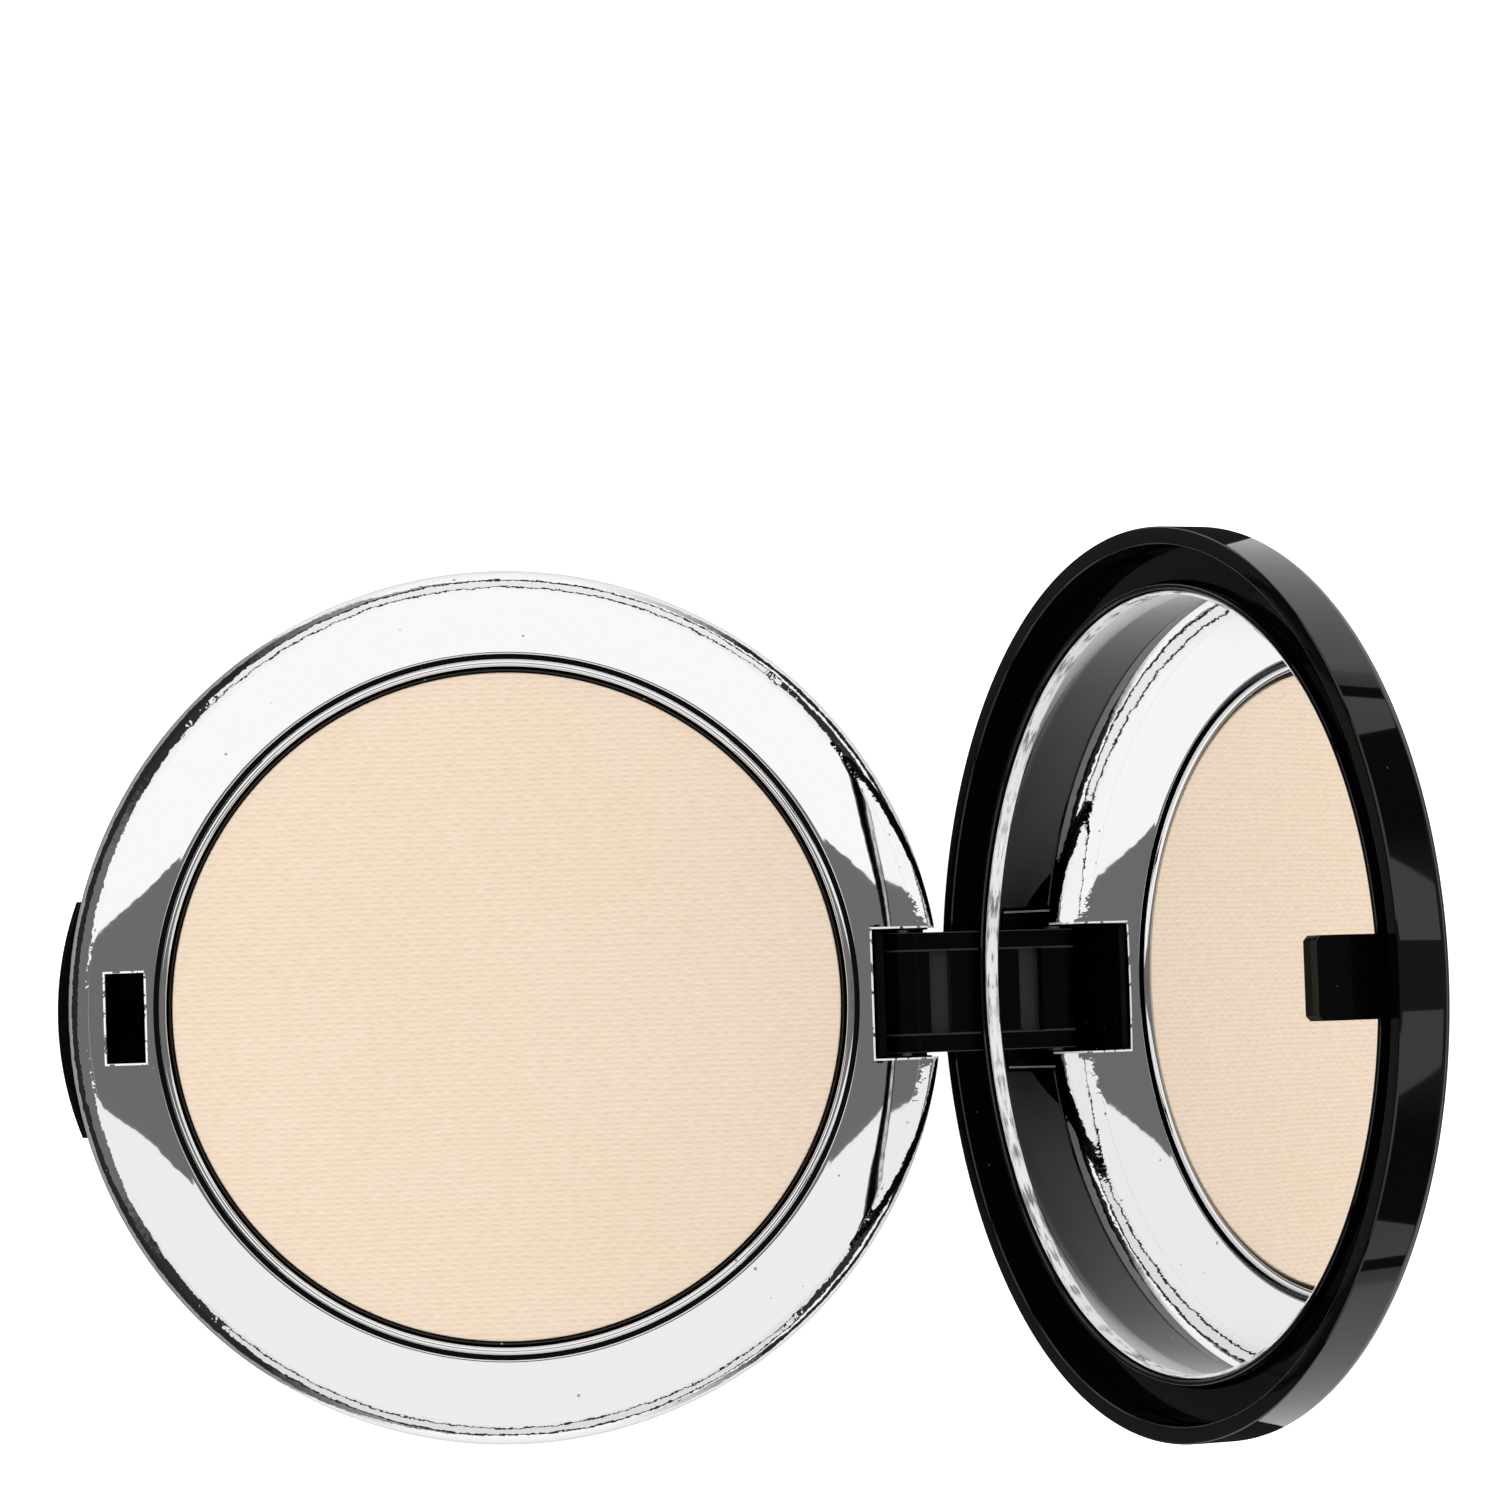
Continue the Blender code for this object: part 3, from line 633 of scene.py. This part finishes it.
inside = hinge_low.y + block_wall
cheeks = block("hinge_block_channel", hinge_low, (hinge_high.x, base_radius, case_top))
channel_low = (-channel_half, inside, hinge_low.z + block_floor)
join_or_cut(cheeks, block("channel", channel_low, (channel_half, far, far)), "DIFFERENCE")
half = notch_half - fit_gap
front_low = (-half, hinge_low.y, pin.z)
join_or_cut(cheeks, block("front_wall", front_low, (half, inside, hinge_high.z)), "UNION")
reach = case_radius - case_draft
outline = spin_section("outline", [(0.0, 0.0), (reach, 0.0), (reach, far), (0.0, far)])
join_or_cut(cheeks, outline, "INTERSECT")
ends = 2 * hinge_high.x
join_or_cut(cheeks, rod("bore", (-ends, pin.y, pin.z), (ends, pin.y, pin.z), bore_radius), "DIFFERENCE")
cheek_top = 0.001
soften(cheeks, fine_edge, lambda point: point.z > case_top - cheek_top, segments=2)
smooth(cheeks)
block_black = black_grained("hinge_block_black")
spread = split_up(block_black.node_tree.nodes["Texture Coordinate"].outputs["Object"])
# Painted highlight: a pale tone on the cheeks' outermost sides stands for light caught by those edges.
beside = calc("ABSOLUTE", spread["X"])
painted_edge_highlight = calc("GREATER_THAN", beside, hinge_high.x - edge_width)
paint_highlight(block_black, painted_edge_highlight, (0.55, 0.55, 0.55, 1.0))
cheeks.data.materials.append(block_black)
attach(cheeks, "base")
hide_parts("hinge_block")

# ---------------------------------------------------------------------------
# Hinge pin and button spring: drawn steel, hidden inside; the spring's is dark
# with oil. Both keep the shapes of the frame and only get a steel finish.
# ---------------------------------------------------------------------------


def drawn_steel(name, bright, dull):
    """Drawn steel with brighter and duller patches."""
    made, links, shader, place = new_material(name)
    marks = place_group(handling_marks, place, Smudge_scale=300.0, Scratch_scale=2500.0)
    tint = blend(marks.outputs["Smudges"], bright, dull)
    links.new(tint, shader.inputs["Base Color"])
    shader.inputs["Metallic"].default_value = 1.0
    rough = calc("MULTIPLY", marks.outputs["Smudges"], 0.25)
    links.new(calc("ADD", rough, 0.18), shader.inputs["Roughness"])
    return made


steel = drawn_steel("drawn_steel", (0.55, 0.55, 0.56, 1.0), (0.42, 0.41, 0.4, 1.0))
oiled_steel = drawn_steel("oiled_spring_steel", (0.012, 0.012, 0.013, 1.0), (0.008, 0.008, 0.008, 1.0))


def finish_node(name, material):
    """Give a piece kept from the frame its finished material."""
    kept = frame["nodes"][name]
    kept.data.materials.clear()
    kept.data.materials.append(material)


finish_node("hinge_pin", steel)
finish_node("button_spring", oiled_steel)

# ---------------------------------------------------------------------------
# Powder pan: a thin pressed dish of bare metal, coloured near black as painted shade. Only its rim
# shows, as the dark line between the powder and the lip, where shade falls.
# ---------------------------------------------------------------------------
pan_wall = 0.00025
pan_outer = pan_high.x
pan_round = 0.0004


def pan_metal(name):
    """Pressed sheet metal, dull from handling and dusted with powder."""
    made, links, shader, place = new_material(name)
    marks = place_group(handling_marks, place, Smudge_scale=200.0, Scratch_scale=1400.0)
    specks = place_group(dust_specks, place, Scale=2200.0, Amount=0.12, Size=0.3)
    # The near-black metal colour is painted shade for the gap; the pale specks are powder dust.
    tint = blend(specks.outputs["Specks"], (0.05, 0.05, 0.052, 1.0), (0.5, 0.42, 0.32, 1.0))
    links.new(tint, shader.inputs["Base Color"])
    shader.inputs["Metallic"].default_value = 1.0
    rough = calc("MULTIPLY", marks.outputs["Smudges"], 0.3)
    links.new(calc("ADD", rough, 0.15), shader.inputs["Roughness"])
    return made


pan_inner = pan_outer - pan_wall
pan_section = [(0.0, pan_low.z + pan_wall), (pan_inner - pan_round, pan_low.z + pan_wall)]
pan_section += arc((pan_inner - pan_round, pan_low.z + pan_wall + pan_round), pan_round, -90.0, 0.0, 5)
pan_section += arc((pan_inner + pan_wall / 2, pan_high.z - pan_wall / 2), pan_wall / 2, 180.0, 0.0, 8)
pan_section += arc((pan_outer - pan_round, pan_low.z + pan_round), pan_round, 0.0, -90.0, 5)
pan_section += [(0.0, pan_low.z)]
pan = spin_section("powder_pan_pressed", pan_section)
smooth(pan, 40.0)
pan.data.materials.append(pan_metal("pan_metal_bare"))
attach(pan, "base")
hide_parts("powder_pan")

# ---------------------------------------------------------------------------
# Adhesive discs: double-sided foam tape, one under the pan and one behind the
# mirror. Hidden; they keep the shapes of the frame.
# ---------------------------------------------------------------------------


def foam_tape(name):
    """Cream foam tape with a fine cellular grain."""
    made, links, shader, place = new_material(name)
    wave = place_group(moulded_skin, place, Wave_scale=900.0, Grain_scale=4000.0, Grain=0.6)
    tint = blend(wave.outputs["Height"], (0.72, 0.7, 0.63, 1.0), (0.86, 0.85, 0.8, 1.0))
    links.new(tint, shader.inputs["Base Color"])
    emboss(shader, wave.outputs["Height"], 1.0, 0.00005)
    shader.inputs["Roughness"].default_value = 0.7
    return made


tape = foam_tape("foam_tape")
finish_node("pan_adhesive", tape)
finish_node("mirror_adhesive", tape)

# ---------------------------------------------------------------------------
# Pressed powder: a cake of ivory face powder, pressed through a ribbed cloth
# that leaves its weave in the top. The edge is barely broken.
# ---------------------------------------------------------------------------
powder_radius = powder_high.x
powder_edge = 0.00015
rib_pitch = 0.00047
dash_length = 0.0006


def woven_powder(name):
    """Matt ivory powder with the cloth's ribs and the crossing threads pressed into it, its colour darker in
    the hollows and lighter on the tops as painted shade, with random cloudy tone.
    """
    made, links, shader, place = new_material(name)
    nodes = made.node_tree.nodes
    thread_stretch, wander = 0.38, 5.0
    rib_share, dash_share = 0.22, 0.18
    relief_shade_share, cloud_share = 0.8, 0.25
    stretch = nodes.new("ShaderNodeMapping")
    stretch.inputs["Scale"].default_value = (1.0 / rib_pitch, thread_stretch / rib_pitch, 1.0)
    links.new(place, stretch.inputs["Vector"])
    threads = noise(stretch.outputs["Vector"], 1.0, detail=3.0, roughness=0.6)
    split = split_up(place)
    drift = noise(place, 260.0)
    shift = calc("MULTIPLY", drift, wander)
    phase = calc("MULTIPLY", split["X"], math.tau / rib_pitch)
    phase = calc("ADD", phase, shift)
    rib = calc("SINE", phase)
    turn = calc("MULTIPLY", split["Y"], math.tau / (dash_length * 2))
    row = calc("FLOOR", calc("DIVIDE", phase, math.tau))
    uneven = nodes.new("ShaderNodeTexWhiteNoise")
    uneven.noise_dimensions = "1D"
    links.new(row, uneven.inputs["W"])
    turn = calc("ADD", turn, calc("MULTIPLY", uneven.outputs["Value"], math.tau))
    dash = calc("SINE", calc("ADD", turn, shift))
    dashes = calc("MULTIPLY", calc("MULTIPLY", rib, dash), dash_share)
    ribs = calc("ADD", calc("MULTIPLY", rib, rib_share), dashes)
    cloth = calc("ADD", threads, ribs)
    cloud = noise(place, 60.0, detail=3.0)
    clouds = calc("MULTIPLY", cloud, cloud_share)
    # Painted shade of the weave: the colour follows the cloth's relief, darker in the hollows and lighter on
    # the tops; the clouds are random tone.
    share = calc("ADD", calc("MULTIPLY", cloth, relief_shade_share), clouds, clamp=True)
    relief_shade_and_tone = blend(share, (0.725, 0.562, 0.416, 1.0), (0.872, 0.737, 0.586, 1.0))
    links.new(relief_shade_and_tone, shader.inputs["Base Color"])
    grain = noise(place, 6000.0)
    height = calc("ADD", cloth, calc("MULTIPLY", grain, 0.25))
    emboss(shader, height, 0.7, 0.00006)
    shader.inputs["Roughness"].default_value = 0.95
    shader.inputs["Specular IOR Level"].default_value = 0.15
    return made


powder_section = [(0.0, powder_level), (powder_radius - powder_edge, powder_level)]
edge_centre = (powder_radius - powder_edge, powder_level - powder_edge)
powder_section += arc(edge_centre, powder_edge, 90.0, 0.0, 4)[1:]
powder_section += [(powder_radius, powder_low.z), (0.0, powder_low.z)]
powder = spin_section("pressed_powder_cake", powder_section)
smooth(powder, 50.0)
powder.data.materials.append(woven_powder("ivory_powder"))
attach(powder, "base")
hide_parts("pressed_powder")

# ---------------------------------------------------------------------------
# Push button: a curved black key in the front wall, with stop ears behind the
# wall and a pocket in its back for the lid's catch. One moulding.
# ---------------------------------------------------------------------------
button_proud = 0.0012
button_end_proud = 0.0007
button_corner = 0.0004
ear_inset = 0.0008
button_top = button_high.z
button_bottom = button_low.z
button_back = skirt_inner
key_front = case_radius + button_proud
bow = key_front - math.sqrt((case_radius + button_end_proud) ** 2 - button_half**2)
key_radius = (button_half**2 + bow**2) / (2 * bow)
key_centre = key_front - key_radius
key_back = button_back - key_centre
key_section = [(key_back, button_top)]
key_section += arc((key_radius - button_corner, button_top - button_corner), button_corner, 90.0, 0.0, 5)
key_section += arc((key_radius - button_corner, button_bottom + button_corner), button_corner, 0.0, -90.0, 5)
key_section += [(key_back, button_bottom), (key_back, button_top)]
button = spin_section("push_button_key", key_section)
only(button)
bpy.ops.object.mode_set(mode="EDIT")
bpy.ops.mesh.select_all(action="SELECT")
bpy.ops.transform.translate(value=(0.0, -key_centre, 0.0))
bpy.ops.object.mode_set(mode="OBJECT")
key_sides = block("key_sides", (-button_half, -far, 0.0), (button_half, -rib_radius, far))
join_or_cut(button, key_sides, "INTERSECT")
end_edge = 0.0003
end_depth = 0.0012


def on_key_end(point):
    """On the ends of the key, in front of the case."""
    return abs(point.x) > button_half - hair / 5 and point.y < -case_radius + end_depth


soften(button, end_edge, on_key_end)
low, top = button_bottom + ear_inset, button_top - ear_inset
ear_section = [(skirt_outer, top), (skirt_outer, low), (button_back, low), (button_back, top)]
ears = spin_section("ears", ear_section + ear_section[:1])
ear_half = button_high.x
join_or_cut(ears, block("ear_sides", (-ear_half, -far, 0.0), (ear_half, -rib_radius, far)), "INTERSECT")
join_or_cut(button, ears, "UNION")
catch_half = 0.0033
catch_tip = 0.00704
pocket_half = catch_half + fit_gap
pocket_low = (-pocket_half, -button_back - fit_gap, catch_tip - fit_gap)
join_or_cut(button, block("pocket", pocket_low, (pocket_half, -rib_radius, far)), "DIFFERENCE")
smooth(button)
button.data.materials.append(black_plastic("button_black", gloss=0.09, skin=0.2, polish=0.2))
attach(button, "button")
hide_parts("push_button")

# ---------------------------------------------------------------------------
# Lid shell: the black outer lid with a flat rim, a polished straight wall and
# a rounded back edge. Every lid piece is made shut and then swung open.
# ---------------------------------------------------------------------------
lid_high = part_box("lid_shell")[1]
lid_radius = lid_high.x
shut_gap = 0.0005
rim_width = 0.0015
rim_level = crease_level + shut_gap
rim_inner = lid_radius - rim_width
rim_edge = 0.0002
rim_depth = 0.0025
moat_level = rim_level + rim_depth
lid_ceiling = 0.01652
lid_wall = 0.0010
lid_top = lid_ceiling + lid_wall
lid_corner = 0.0011


def swing_open(piece):
    """Turn a lid piece from shut to the open stop, about the hinge pin."""
    only(piece)
    bpy.ops.object.mode_set(mode="EDIT")
    bpy.ops.mesh.select_all(action="SELECT")
    bpy.ops.transform.rotate(value=open_angle, orient_axis="X", center_override=pin)
    bpy.ops.object.mode_set(mode="OBJECT")


def shut_place(place):
    """The place a point of the lid has when the lid is shut."""
    tree = place.id_data
    shut = tree.nodes.new("ShaderNodeMapping")
    shut.vector_type = "TEXTURE"
    turned_back = Matrix.Rotation(-open_angle, 3, "X")
    shut.inputs["Rotation"].default_value = (-open_angle, 0.0, 0.0)
    shut.inputs["Location"].default_value = pin - turned_back @ pin
    tree.links.new(place, shut.inputs["Vector"])
    return shut.outputs["Vector"]


shell_section = [(0.0, lid_top)]
shell_section += arc((lid_radius - lid_corner, lid_top - lid_corner), lid_corner, 90.0, 0.0, 10)
shell_section += arc((lid_radius - rim_edge, rim_level + rim_edge), rim_edge, 0.0, -90.0, 4)
shell_section += arc((rim_inner + rim_edge, rim_level + rim_edge), rim_edge, -90.0, -180.0, 4)
shell_section += [(rim_inner, lid_ceiling), (0.0, lid_ceiling)]
shell = spin_section("lid_shell_moulding", shell_section)
smooth(shell)
swing_open(shell)
wall_rings = [(lid_radius - rim_edge * 0.6, far), (rim_inner, rim_inner + rim_edge * 0.6)]
shell.data.materials.append(polish_rings(black_plastic("lid_black"), wall_rings, shut_place))
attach(shell, "lid")
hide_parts("lid_shell")

# ---------------------------------------------------------------------------
# Lid frame: the black inner moulding that snaps into the shell. It has the
# moat, the raised bezel round the mirror and the pocket behind it.
# ---------------------------------------------------------------------------
mirror_radius = 0.03267
mirror_face = 0.0141
mirror_back = 0.0152
pocket_radius = mirror_radius + press_gap
pocket_level = 0.01562
bezel_width = 0.0005
bezel_outer = pocket_radius + bezel_width
bezel_rise = 0.0004
bezel_face = mirror_face - bezel_rise
frame_radius = rim_inner - press_gap
frame_wall = 0.0006
frame_back = pocket_level + frame_wall
bezel_round = bezel_width / 3
frame_section = [(0.0, frame_back), (frame_radius, frame_back), (frame_radius, moat_level)]
bezel_foot = 0.0003
frame_section += [(bezel_outer + bezel_foot, moat_level), (bezel_outer, moat_level - bezel_foot)]
frame_section += arc((bezel_outer - bezel_round, bezel_face + bezel_round), bezel_round, 0.0, -90.0, 4)
frame_section += arc((pocket_radius + bezel_round, bezel_face + bezel_round), bezel_round, -90.0, -180.0, 4)
frame_section += [(pocket_radius, pocket_level), (0.0, pocket_level)]
lid_frame = spin_section("lid_frame_moulding", frame_section)
smooth(lid_frame)
swing_open(lid_frame)
bezel_rings = [(bezel_outer - bezel_round * 0.8, bezel_outer)]
bezel_rings += [(pocket_radius, pocket_radius + bezel_round * 0.8)]
lid_frame.data.materials.append(polish_rings(black_plastic("frame_black"), bezel_rings, shut_place))
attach(lid_frame, "lid")
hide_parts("lid_frame")

# ---------------------------------------------------------------------------
# Hinge tongue: part of the lid frame's moulding. A plate with two side rails
# and a recess between them, rounded into the knuckle that turns on the pin.
# ---------------------------------------------------------------------------
tongue_half = 0.0053
tongue_thick = 0.0030
tongue_front = pin.y - tongue_thick / 2
tongue_back = pin.y + tongue_thick / 2
tongue_rail = 0.0016
tongue_recess = 0.0009
recess_length = 0.0022
channel_depth = 0.00025
knuckle_radius = 0.0018
tongue_low = (-tongue_half, tongue_front, pin.z)
tongue = block("hinge_tongue", tongue_low, (tongue_half, tongue_back, moat_level + rim_edge))
reach = frame_radius - press_gap
outline = spin_section("tongue_outline", [(0.0, 0.0), (reach, 0.0), (reach, far), (0.0, far)])
join_or_cut(tongue, outline, "INTERSECT")
knuckle = rod("knuckle", (-tongue_half, pin.y, pin.z), (tongue_half, pin.y, pin.z), knuckle_radius)
join_or_cut(tongue, knuckle, "UNION")
half = tongue_half - tongue_rail
recess_low = (-half, tongue_front - fit_gap, pin.z + knuckle_radius + rim_edge)
recess_top = recess_low[2] + recess_length
recess = block("recess", recess_low, (half, tongue_front + tongue_recess, recess_top))
join_or_cut(tongue, recess, "DIFFERENCE")
channel_low = (-half, tongue_front - fit_gap, recess_top - fit_gap)
channel_high = (half, tongue_front + channel_depth, moat_level - tongue_recess)
join_or_cut(tongue, block("channel", channel_low, channel_high), "DIFFERENCE")
join_or_cut(tongue, rod("bore", (-ends, pin.y, pin.z), (ends, pin.y, pin.z), bore_radius), "DIFFERENCE")
tongue_edge = 0.00012
knuckle_part = 0.0006
soften(tongue, tongue_edge, lambda point: point.z > pin.z + knuckle_part, segments=2)
smooth(tongue)
swing_open(tongue)
tongue_black = black_grained("tongue_black")
# Painted highlight: the recess between the rails is a little lighter, standing for light off a slanted face
# there.
spread = split_up(shut_place(tongue_black.node_tree.nodes["Texture Coordinate"].outputs["Object"]))
beside = calc("ABSOLUTE", spread["X"])
between = within(spread["Z"], recess_top - recess_length / 2, recess_length / 2)
inside_rails = calc("LESS_THAN", beside, half)
painted_recess_highlight = calc("MULTIPLY", between, inside_rails)
paint_highlight(tongue_black, painted_recess_highlight, (0.035, 0.035, 0.035, 1.0))
# Painted highlights: thin pale lines along the outer and inner edges of the rails.
painted_edge_highlight = None
for line_place in (tongue_half, half):
    line = within(beside, line_place, edge_width / 2)
    painted_edge_highlight = line if painted_edge_highlight is None else calc("MAXIMUM", painted_edge_highlight, line)
paint_highlight(tongue_black, painted_edge_highlight, (0.05, 0.05, 0.05, 1.0))
tongue.data.materials.append(tongue_black)
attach(tongue, "lid")

# ---------------------------------------------------------------------------
# Catch: the other end of the lid frame's moulding. It drops through the latch
# slot and its nose hooks under the slot's outer edge.
# ---------------------------------------------------------------------------
nose_bite = 0.00025
nose_reach = 0.0006
catch_thick = 0.0014
nose_outer = slot_outer + nose_bite
catch_outer = nose_outer - nose_reach
catch_inner = catch_outer - catch_thick
nose_lead = 0.0012
nose_land = 0.0018
nose_top = catch_tip + nose_lead + nose_land
catch_chamfer = 0.0004
catch_high = (catch_half, -catch_inner, moat_level + rim_edge)
catch = block("lid_catch", (-catch_half, -catch_outer, catch_tip), catch_high)
nose = block("nose", (-catch_half, -nose_outer, catch_tip), (catch_half, -catch_outer + fit_gap, nose_top))
join_or_cut(catch, nose, "UNION")


def plane_cut(piece, point, normal):
    """Slice off what lies on the far side of a plane and close the cut."""
    only(piece)
    bpy.ops.object.mode_set(mode="EDIT")
    bpy.ops.mesh.select_all(action="SELECT")
    bpy.ops.mesh.bisect(plane_co=point, plane_no=normal, use_fill=True, clear_outer=True)
    bpy.ops.object.mode_set(mode="OBJECT")


plane_cut(catch, (0.0, -catch_outer, catch_tip), (0.0, -nose_lead, -(nose_outer - catch_outer)))
for side in (-1, 1):
    plane_cut(catch, (side * (catch_half - catch_chamfer), 0.0, catch_tip), (side * 1.0, 0.0, -1.0))
soften(catch, fine_edge, lambda point: point.z < moat_level - rim_edge, segments=2, sharpest=20.0)
smooth(catch)
swing_open(catch)
catch.data.materials.append(black_grained("catch_black"))
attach(catch, "lid")

# ---------------------------------------------------------------------------
# Mirror: round silvered glass with a bright ground edge, stuck into the
# frame's pocket with foam tape. Its silver is drawn behind the glass's face.
# ---------------------------------------------------------------------------
silver_depth = 0.00055
ground_width = 0.00028
ground_slope = 0.00006
ground_edge = mirror_radius - ground_width - ground_slope


def mirror_silver(name):
    """Silvered glass: a clean mirror with a few specks of dust and a bright ground edge."""
    made, links, shader, place = new_material(name)
    nodes = made.node_tree.nodes
    specks = place_group(dust_specks, place, Scale=1700.0, Amount=0.02, Size=0.12)
    marks = place_group(handling_marks, place, Smudge_scale=60.0, Scratch_scale=420.0)
    shut = shut_place(place)
    radius = square_radius(shut)
    ground = calc("GREATER_THAN", radius, ground_edge - ground_slope / 6)
    split = split_up(shut)
    turn = calc("ARCTAN2", split["X"], split["Y"])
    round_edge = nodes.new("ShaderNodeCombineXYZ")
    for value, fineness, label in ((radius, 9000.0, "X"), (turn, 14.0, "Y"), (split["Z"], 3000.0, "Z")):
        links.new(calc("MULTIPLY", value, fineness), round_edge.inputs[label])
    streaks = noise(round_edge.outputs["Vector"], 1.0, detail=4.0)
    edge_highlight_and_ground = nodes.new("ShaderNodeValToRGB")
    edge_highlight_and_ground.color_ramp.elements[0].position = 0.36
    edge_highlight_and_ground.color_ramp.elements[0].color = (0.25, 0.25, 0.25, 1.0)
    edge_highlight_and_ground.color_ramp.elements[1].position = 0.5
    edge_highlight_and_ground.color_ramp.elements[1].color = (1.0, 1.0, 1.0, 1.0)
    links.new(streaks, edge_highlight_and_ground.inputs["Fac"])
    silver = blend(specks.outputs["Specks"], (0.97, 0.97, 0.965, 1.0), (0.7, 0.7, 0.7, 1.0))
    tint = blend(ground, silver, edge_highlight_and_ground.outputs["Color"])
    links.new(tint, shader.inputs["Base Color"])
    links.new(calc("SUBTRACT", 1.0, ground), shader.inputs["Metallic"])
    film = calc("MULTIPLY", marks.outputs["Smudges"], 0.006)
    dull = calc("ADD", film, calc("MULTIPLY", specks.outputs["Specks"], 0.3))
    links.new(calc("MAXIMUM", dull, calc("MULTIPLY", ground, 0.35)),
              shader.inputs["Roughness"])
    return made


mirror_section = [(0.0, mirror_back), (mirror_radius, mirror_back)]
mirror_section += [(mirror_radius, mirror_face + ground_slope)]
mirror_section += [(mirror_radius - ground_slope, mirror_face), (mirror_radius - ground_width, mirror_face)]
mirror_section += [(ground_edge, mirror_face + silver_depth), (0.0, mirror_face + silver_depth)]
mirror = spin_section("mirror_glass_disc", mirror_section)
only(mirror)
bpy.ops.object.shade_smooth_by_angle(angle=math.radians(5.0))
swing_open(mirror)
mirror.data.materials.append(mirror_silver("silvered_glass"))
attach(mirror, "lid")
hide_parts("mirror_glass")

# ---------------------------------------------------------------------------
# Studio: a white table that looks darker in reflections toward its ends, two
# big soft boxes with a gap between them over the compact, two upright side
# boxes and a pale room, greyer in reflections. The camera looks down the gap.
# ---------------------------------------------------------------------------
bpy.ops.object.select_all(action="DESELECT")
bpy.ops.mesh.primitive_plane_add(size=6.0, location=(0.0, 0.0, 0.0))
table = bpy.context.object
table.name = "table"
reflection_dark_start = 0.055
lid_ground = 0.072
front_ground = -0.024
made, links, shader, place = new_material("white_table")
nodes = made.node_tree.nodes
mottle = noise(place, 40.0)
paper = blend(mottle, (0.88, 0.88, 0.88, 1.0), (0.90, 0.90, 0.90, 1.0))
spread = split_up(place)
# Painted dark reflection: beyond a set radius and toward its ends the table is near black to glossy rays
# only, and grey in front of the compact; the camera still sees it white.
far_off = calc("GREATER_THAN", square_radius(place), reflection_dark_start)
short_of_lid = calc("LESS_THAN", spread["Y"], lid_ground)
far_off = calc("MULTIPLY", far_off, short_of_lid)
wide = calc("ABSOLUTE", calc("DIVIDE", spread["Y"], spread["X"]))
dark_in_reflections = calc("MULTIPLY", far_off, fade(wide, 0.25, 0.7))
table_rays = nodes.new("ShaderNodeLightPath")
front = calc("LESS_THAN", spread["Y"], front_ground)
front = calc("MULTIPLY", front, table_rays.outputs["Is Glossy Ray"])
grey = blend(front, paper, (0.3, 0.3, 0.3, 1.0))
dark_in_reflections = calc("MULTIPLY", dark_in_reflections, table_rays.outputs["Is Glossy Ray"])
dim = blend(dark_in_reflections, grey, (0.02, 0.02, 0.02, 1.0))
links.new(dim, shader.inputs["Base Color"])
shader.inputs["Roughness"].default_value = 0.9
shader.inputs["Specular IOR Level"].default_value = 0.0
shader.inputs["Emission Color"].default_value = (1.0, 1.0, 1.0, 1.0)
glow = calc("MULTIPLY", table_rays.outputs["Is Camera Ray"], 0.9)
links.new(glow, shader.inputs["Emission Strength"])
table.data.materials.append(made)

box_height = 0.45
gap_share = 0.19
gap_half = gap_share * box_height
box_depth = 0.55
box_length = 1.3
wall_place = gap_half + box_depth + 0.08
wall_low = 0.09
wall_high = 0.42


def soft_box(name, place, turn, size, radiance):
    """A flat rectangular light of a given brightness."""
    bpy.ops.object.light_add(type="AREA", location=place, rotation=turn)
    lamp = bpy.context.object
    lamp.name = name
    lamp.data.shape = "RECTANGLE"
    lamp.data.size, lamp.data.size_y = size
    lamp.data.energy = radiance * size[0] * size[1] * math.pi
    lamp.visible_camera = False


for side, label, radiance in ((-1, "left", 0.855), (1, "right", 0.75)):
    place = (side * (gap_half + box_depth / 2), 0.0, box_height)
    soft_box("soft_box_" + label, place, (0.0, 0.0, 0.0), (box_depth, box_length), radiance)
    place = (side * wall_place, 0.0, (wall_low + wall_high) / 2)
    turn = (0.0, side * math.pi / 2, 0.0)
    soft_box("side_box_" + label, place, turn, (wall_high - wall_low, box_length), radiance)

room_grey = 0.155
end_grey = 0.03
world = bpy.data.worlds.new("pale_room")
bpy.context.scene.world = world
world.use_nodes = True
nodes, links = world.node_tree.nodes, world.node_tree.links
rays = nodes.new("ShaderNodeLightPath")
toward = nodes.new("ShaderNodeTexCoord")
aim = split_up(toward.outputs["Generated"])
sideways = calc("ABSOLUTE", calc("ARCTAN2", aim["X"], calc("ABSOLUTE", aim["Y"])))
open_end = fade(sideways, math.radians(24.0), math.radians(34.0), room_grey, end_grey)
room = nodes.new("ShaderNodeMix")
room.data_type = "FLOAT"
links.new(fade(aim["Z"], 0.55, 0.7), room.inputs["Factor"])
links.new(open_end, room.inputs["A"])
room.inputs["B"].default_value = room_grey
seen = blend(rays.outputs["Is Glossy Ray"], (0.62, 0.62, 0.62, 1.0), room.outputs["Result"])
shown = blend(rays.outputs["Is Camera Ray"], seen, (1.0, 1.0, 1.0, 1.0))
links.new(shown, nodes["Background"].inputs["Color"])

bpy.ops.object.camera_add(location=(0.000795, -0.010099, 0.480691))
camera = bpy.context.object
camera.name = "camera"
camera.rotation_euler = (math.radians(2.8642), math.radians(-3.8083), math.radians(88.122))
camera.data.lens = 128.99
camera.data.sensor_width = 36.0
camera.data.clip_start = 0.01
bpy.context.scene.camera = camera
bpy.context.scene.view_settings.view_transform = "Standard"
